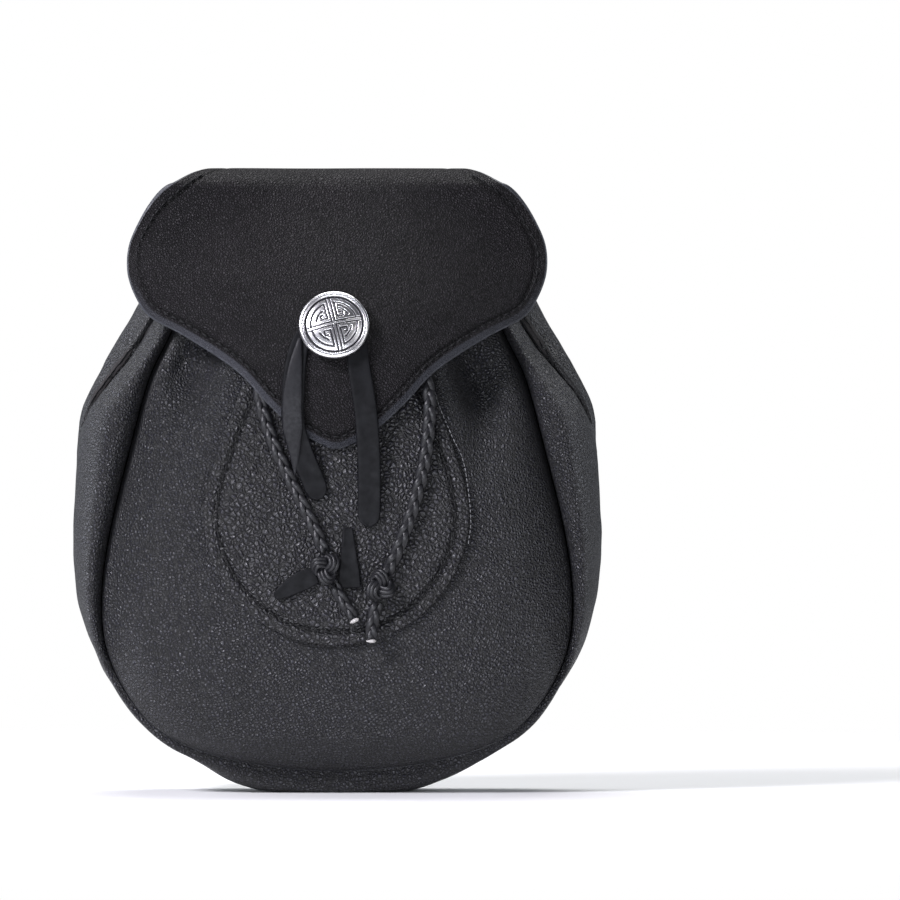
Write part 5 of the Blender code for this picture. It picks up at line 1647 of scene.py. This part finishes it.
def button_finish():
    """White metal that is bright where it is raised and tarnished where it is low."""
    made, nodes, links, shader = new_finish("cast_white_metal")
    low = painted_share(nodes, "height_share")
    where = nodes.new("ShaderNodeTexCoord").outputs["Object"]
    speck = noise_node(nodes, links, where, 1400, 3, 0.6).outputs["Fac"]
    share = math_node(nodes, links, "MULTIPLY_ADD", speck, 0.35, low)
    clear = value_between(nodes, links, share, 0, 1, 0.30, 1.0)
    links.new(colour_between(nodes, links, clear, TARNISH, BRIGHT), shader.inputs["Base Color"])
    links.new(value_between(nodes, links, clear, 0.55, 0.27), shader.inputs["Roughness"])
    bump_from(nodes, links, speck, 0.25, 0.00005, shader)
    shader.inputs["Metallic"].default_value = 1
    return made


def build_button():
    """The face, its rim, the flat back, and the post with the foot behind the flap."""
    radii = BUTTON_RADIUS * np.linspace(0, 1, BUTTON_RINGS + 1)[1:]
    angles = np.arange(BUTTON_SPOKES) * 2 * math.pi / BUTTON_SPOKES
    a = radii[:, None] * np.cos(angles)[None]
    b = radii[:, None] * np.sin(angles)[None]
    cos_t, sin_t = math.cos(BUTTON_TURN), math.sin(BUTTON_TURN)
    inner_a, inner_b = a * cos_t + b * sin_t, b * cos_t - a * sin_t
    height = button_height(inner_a, inner_b)
    shares = button_relief(inner_a, inner_b, np.hypot(a, b))
    verts = [(0, 0, float(button_height(np.array(0.0), np.array(0.0))))]
    verts += [tuple(v) for v in np.stack([a, b, height], axis=2).reshape(-1, 3)]
    for radius, low in BUTTON_BACK:
        verts += [(radius * math.cos(t), radius * math.sin(t), low) for t in angles]
    faces = [(0, 1 + s, 1 + (s + 1) % BUTTON_SPOKES) for s in range(BUTTON_SPOKES)]
    faces += turned_faces(BUTTON_RINGS + len(BUTTON_BACK), BUTTON_SPOKES, 1)
    lifted = button_frame() @ Matrix.Translation((0, 0, 3 * REST_GAP + THONG_THICKNESS))
    placed = [lifted @ Vector(v) for v in verts]
    made = mesh_piece("button_casting", [tuple(v) for v in placed], faces, button_finish())
    layer = made.data.attributes.new("height_share", "FLOAT", "POINT")
    values = np.full(len(verts), 0.7)
    values[0] = 0.4
    values[1 : 1 + shares.size] = shares.reshape(-1)
    layer.data.foreach_set("value", values)
    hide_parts("button")


build_button()

# %% [markdown]
# ## The hanger
#
# A plate of the flap's leather is riveted to the round. Its shoulders are rolled into two loops,
# each with a D-ring that takes the hook of a sporran chain. The solids have the plate's real shape,
# so it is only remeshed finely and smoothed, which rounds its edges as wear does.

# %% Hanger plate


def worn_copy(name, node, voxel, rounds, finish):
    """A copy of a solid on a fine even net, its edges worn round."""
    made = bpy.data.objects.new(name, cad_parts[node].data.copy())
    bpy.context.scene.collection.objects.link(made)
    made.data.materials.clear()
    made.data.materials.append(finish)
    remesh = made.modifiers.new("net", "REMESH")
    remesh.mode = "VOXEL"
    remesh.voxel_size = voxel
    remesh.use_smooth_shade = True
    wear = made.modifiers.new("wear", "SMOOTH")
    wear.factor, wear.iterations = 0.5, rounds
    bpy.context.view_layer.update()
    fine = bpy.data.meshes.new_from_object(made.evaluated_get(bpy.context.evaluated_depsgraph_get()))
    made.modifiers.clear()
    made.data = fine
    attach(made, "pouch")
    print(name, len(fine.polygons), "faces")
    return made


plate = worn_copy("hanger_plate_leather", "hanger_plate", 0.00045, 5, HIDE_FLAP)
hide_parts("hanger_plate")

# %% Frames on the back
PLATE_WIDTH, PLATE_HEIGHT, PLATE_THICKNESS = 0.0604, 0.0510, 0.0022
PLATE_TOP = ROLL_Z + 0.004
SHOULDER_SHARES = ((0.351, 0.000), (1.000, 0.225))
LOOP_INNER, LOOP_WALL = 0.0017, 0.0017
RING_WIRE, RING_BAR, RING_RISE = 0.0011, 0.0226, 0.0125
TAB_TOP = REST_GAP + 2 * PLATE_THICKNESS - 0.0004
RIVET_SPOTS = {"top": (0.0146, PLATE_TOP - 0.0160), "bottom": (0.0107, PLATE_TOP - 0.0395)}
RIVET_CAP, RIVET_CAP_THICKNESS, RIVET_SHANK = 0.0045, 0.0013, 0.0014


def back_frame(x, z):
    """Origin on the flap's back, with its Z axis out of the back and its Y axis up the back."""
    turn = Matrix.Rotation(math.pi, 4, "Z") @ Matrix.Rotation(math.pi / 2 - BACK_LEAN, 4, "X")
    return Matrix.Translation(back_plane(x, z)) @ turn


def shoulder_frame(side):
    """On the plate's slanted shoulder: X along the ring's bar, Y up the back, Z out of it."""
    corners = [(x * PLATE_WIDTH / 2, PLATE_TOP - down * PLATE_HEIGHT) for x, down in SHOULDER_SHARES]
    (x_in, z_in), (x_out, z_out) = corners
    slope = math.atan2(z_in - z_out, x_out - x_in)
    middle = back_frame(side * (x_in + x_out) / 2, (z_in + z_out) / 2)
    return middle @ Matrix.Rotation(slope * side, 4, "Z")


print("plate is", 1000 * PLATE_WIDTH, "mm wide")

# %% D-rings
RING_POINTS, RING_SIDES = 64, 14


def ring_line():
    """The ring's wire: a straight bar, then an arch over it."""
    half, corner = RING_BAR / 2, RING_WIRE * 1.4
    low = math.asin(corner / RING_RISE)
    arch = [(half * math.cos(a), RING_RISE * math.sin(a)) for a in np.linspace(low, math.pi - low, 25)]
    ends = [(half - corner, 0), (half - corner * 0.3, corner * 0.3)]
    points = np.array([(0, 0), *ends, *arch, *((-x, y) for x, y in reversed(ends)), (0, 0)])
    return resample(rounded(np.hstack([points, np.zeros((len(points), 1))]), 1), RING_POINTS + 1)[:-1]


def build_ring(side, name):
    """A D-ring with its bar in the loop on one shoulder."""
    line = ring_line()
    along = np.roll(line, -1, axis=0) - np.roll(line, 1, axis=0)
    along /= np.linalg.norm(along, axis=1, keepdims=True)
    out = np.tile((0.0, 0.0, 1.0), (RING_POINTS, 1))
    rings = tube_rings(line, RING_WIRE, RING_WIRE, along, out, RING_SIDES).reshape(-1, 3)
    place = shoulder_frame(side) @ Matrix.Translation((0, 0, REST_GAP + LOOP_INNER + LOOP_WALL))
    verts = [tuple(place @ Vector(v)) for v in rings]
    faces = ring_faces(RING_POINTS, RING_SIDES, 0, closed=True)
    made = mesh_piece(f"{name}_wire", verts, faces, RING_STEEL, body=name)
    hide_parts(name)


build_ring(-1, "ring_left")
build_ring(1, "ring_right")

# %% Rivets
RIVET_SPOKES = 40
INNER_CAP, INNER_CAP_THICKNESS, CAP_DIMPLE = 0.8, 0.0008, 0.0006


def rivet_profile(high, low):
    """Radii and heights of a rivet, from the crown of its cap to the middle of its inner cap."""
    cap = [
        (RIVET_CAP * math.sin(a), high + RIVET_CAP_THICKNESS * (0.25 + 0.75 * math.cos(a)))
        for a in np.linspace(0.06, math.pi / 2, 9)
    ]
    inner, foot = RIVET_CAP * INNER_CAP, low - INNER_CAP_THICKNESS
    under = [(RIVET_CAP, high), (RIVET_SHANK, high), (RIVET_SHANK, low), (inner, low)]
    return [*cap, *under, (inner, foot), (CAP_DIMPLE, foot)]


def build_rivet(name, x, z, high, low):
    """A double-cap rivet, turned round its shank, on the back."""
    profile = rivet_profile(high, low)
    angles = np.arange(RIVET_SPOKES) * 2 * math.pi / RIVET_SPOKES
    turned = [(r * math.cos(t), r * math.sin(t), h) for r, h in profile for t in angles]
    place = back_frame(x, z)
    verts = [tuple(place @ Vector(point)) for point in turned]
    faces = [tuple(range(RIVET_SPOKES))] + turned_faces(len(profile), RIVET_SPOKES, 0)
    made = mesh_piece(f"{name}_cap", verts, faces, RIVET_STEEL)
    made.data.set_sharp_from_angle(angle=math.radians(50))
    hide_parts(name)


UNDER_FLAP = -(FLAP_WALL + REST_GAP)
STACKS = {
    "top": (TAB_TOP + REST_GAP, UNDER_FLAP),
    "bottom": (2 * REST_GAP + PLATE_THICKNESS, UNDER_FLAP - PANEL_WALL - 2 * REST_GAP),
}
for row, (high, low) in STACKS.items():
    x, z = RIVET_SPOTS[row]
    build_rivet(f"rivet_{row}_left", -x, z, high, low)
    build_rivet(f"rivet_{row}_right", x, z, high, low)

# %% [markdown]
# ## The floor, the light and the world
#
# A pale sheet under the pouch fades into a white surround, as in a light tent. A key light from the
# upper left is small enough to pick out each pebble of the grain. A weak one fills from the right,
# a wide one lights from above, and a low one reaches the underside of the bulge. Two tall strips
# behind the pouch draw the cool line of light along its sides.

# %% Floor
FLOOR_REACH = 3.0
FLOOR_TONES = (0.80, 0.80, 0.80), (0.82, 0.82, 0.82)
FADE_START, FADE_END = 0.25, 0.70


def make_floor():
    """A round sheet that turns clear towards its edge."""
    mesh = bpy.data.meshes.new("floor")
    shape = bmesh.new()
    bmesh.ops.create_circle(shape, cap_ends=True, segments=96, radius=FLOOR_REACH)
    shape.to_mesh(mesh)
    shape.free()
    made = bpy.data.objects.new("floor", mesh)
    bpy.context.scene.collection.objects.link(made)
    finish, nodes, links, shader = new_finish("pale_floor")
    where = nodes.new("ShaderNodeTexCoord").outputs["Object"]
    away = nodes.new("ShaderNodeVectorMath")
    away.operation = "LENGTH"
    links.new(where, away.inputs[0])
    tone = noise_node(nodes, links, where, 6, 2).outputs["Fac"]
    links.new(colour_between(nodes, links, tone, *FLOOR_TONES), shader.inputs["Base Color"])
    clear = value_between(nodes, links, away.outputs["Value"], 1, 0, FADE_START, FADE_END)
    links.new(clear, shader.inputs["Alpha"])
    shader.inputs["Roughness"].default_value = 0.75
    shader.inputs["Specular IOR Level"].default_value = 0.2
    mesh.materials.append(finish)
    return made


make_floor()
print("floor is", 2 * FLOOR_REACH, "m across")

# %% Lights and world
AIM = Vector((0, 0, 0.12))
WHITE, COOL = (1, 1, 1), (0.88, 0.92, 1.0)


def soft_light(name, place, size, power, colour=WHITE):
    """A flat light that looks at the pouch, unseen by the camera."""
    data = bpy.data.lights.new(name, "AREA")
    data.shape = "RECTANGLE"
    data.size, data.size_y = size
    data.energy = power
    data.color = colour
    made = bpy.data.objects.new(name, data)
    made.location = place
    made.rotation_euler = (AIM - Vector(place)).to_track_quat("-Z", "Y").to_euler()
    made.visible_camera = False
    bpy.context.scene.collection.objects.link(made)


soft_light("key_light", (-1.1, -0.9, 1.2), (0.45, 0.45), 42, (0.94, 0.92, 1.0))
soft_light("fill_light", (1.3, -1.3, 0.6), (0.9, 1.1), 4)
soft_light("left_strip", (-1.1, 0.55, 0.45), (0.35, 1.2), 9, COOL)
soft_light("right_strip", (1.1, 0.55, 0.45), (0.35, 1.2), 6, COOL)
soft_light("top_light", (0, 0.5, 1.6), (1.2, 0.8), 22)
soft_light("low_light", (-0.2, -1.0, 0.04), (1.2, 0.12), 9, (0.9, 0.93, 1.0))


def make_world():
    """White behind the pouch as the camera sees it, and a weak cool light on the pouch."""
    world = bpy.data.worlds.new("light_tent")
    world.use_nodes = True
    nodes, links = world.node_tree.nodes, world.node_tree.links
    nodes.clear()
    seen, lit = nodes.new("ShaderNodeBackground"), nodes.new("ShaderNodeBackground")
    seen.inputs["Color"].default_value = (1, 1, 1, 1)
    seen.inputs["Strength"].default_value = 1.0
    lit.inputs["Color"].default_value = (0.86, 0.90, 1, 1)
    lit.inputs["Strength"].default_value = 0.07
    ray, mix = nodes.new("ShaderNodeLightPath"), nodes.new("ShaderNodeMixShader")
    links.new(ray.outputs["Is Camera Ray"], mix.inputs["Fac"])
    links.new(lit.outputs[0], mix.inputs[1])
    links.new(seen.outputs[0], mix.inputs[2])
    links.new(mix.outputs[0], nodes.new("ShaderNodeOutputWorld").inputs["Surface"])
    bpy.context.scene.world = world


make_world()
bpy.context.scene.view_settings.view_transform = "Standard"
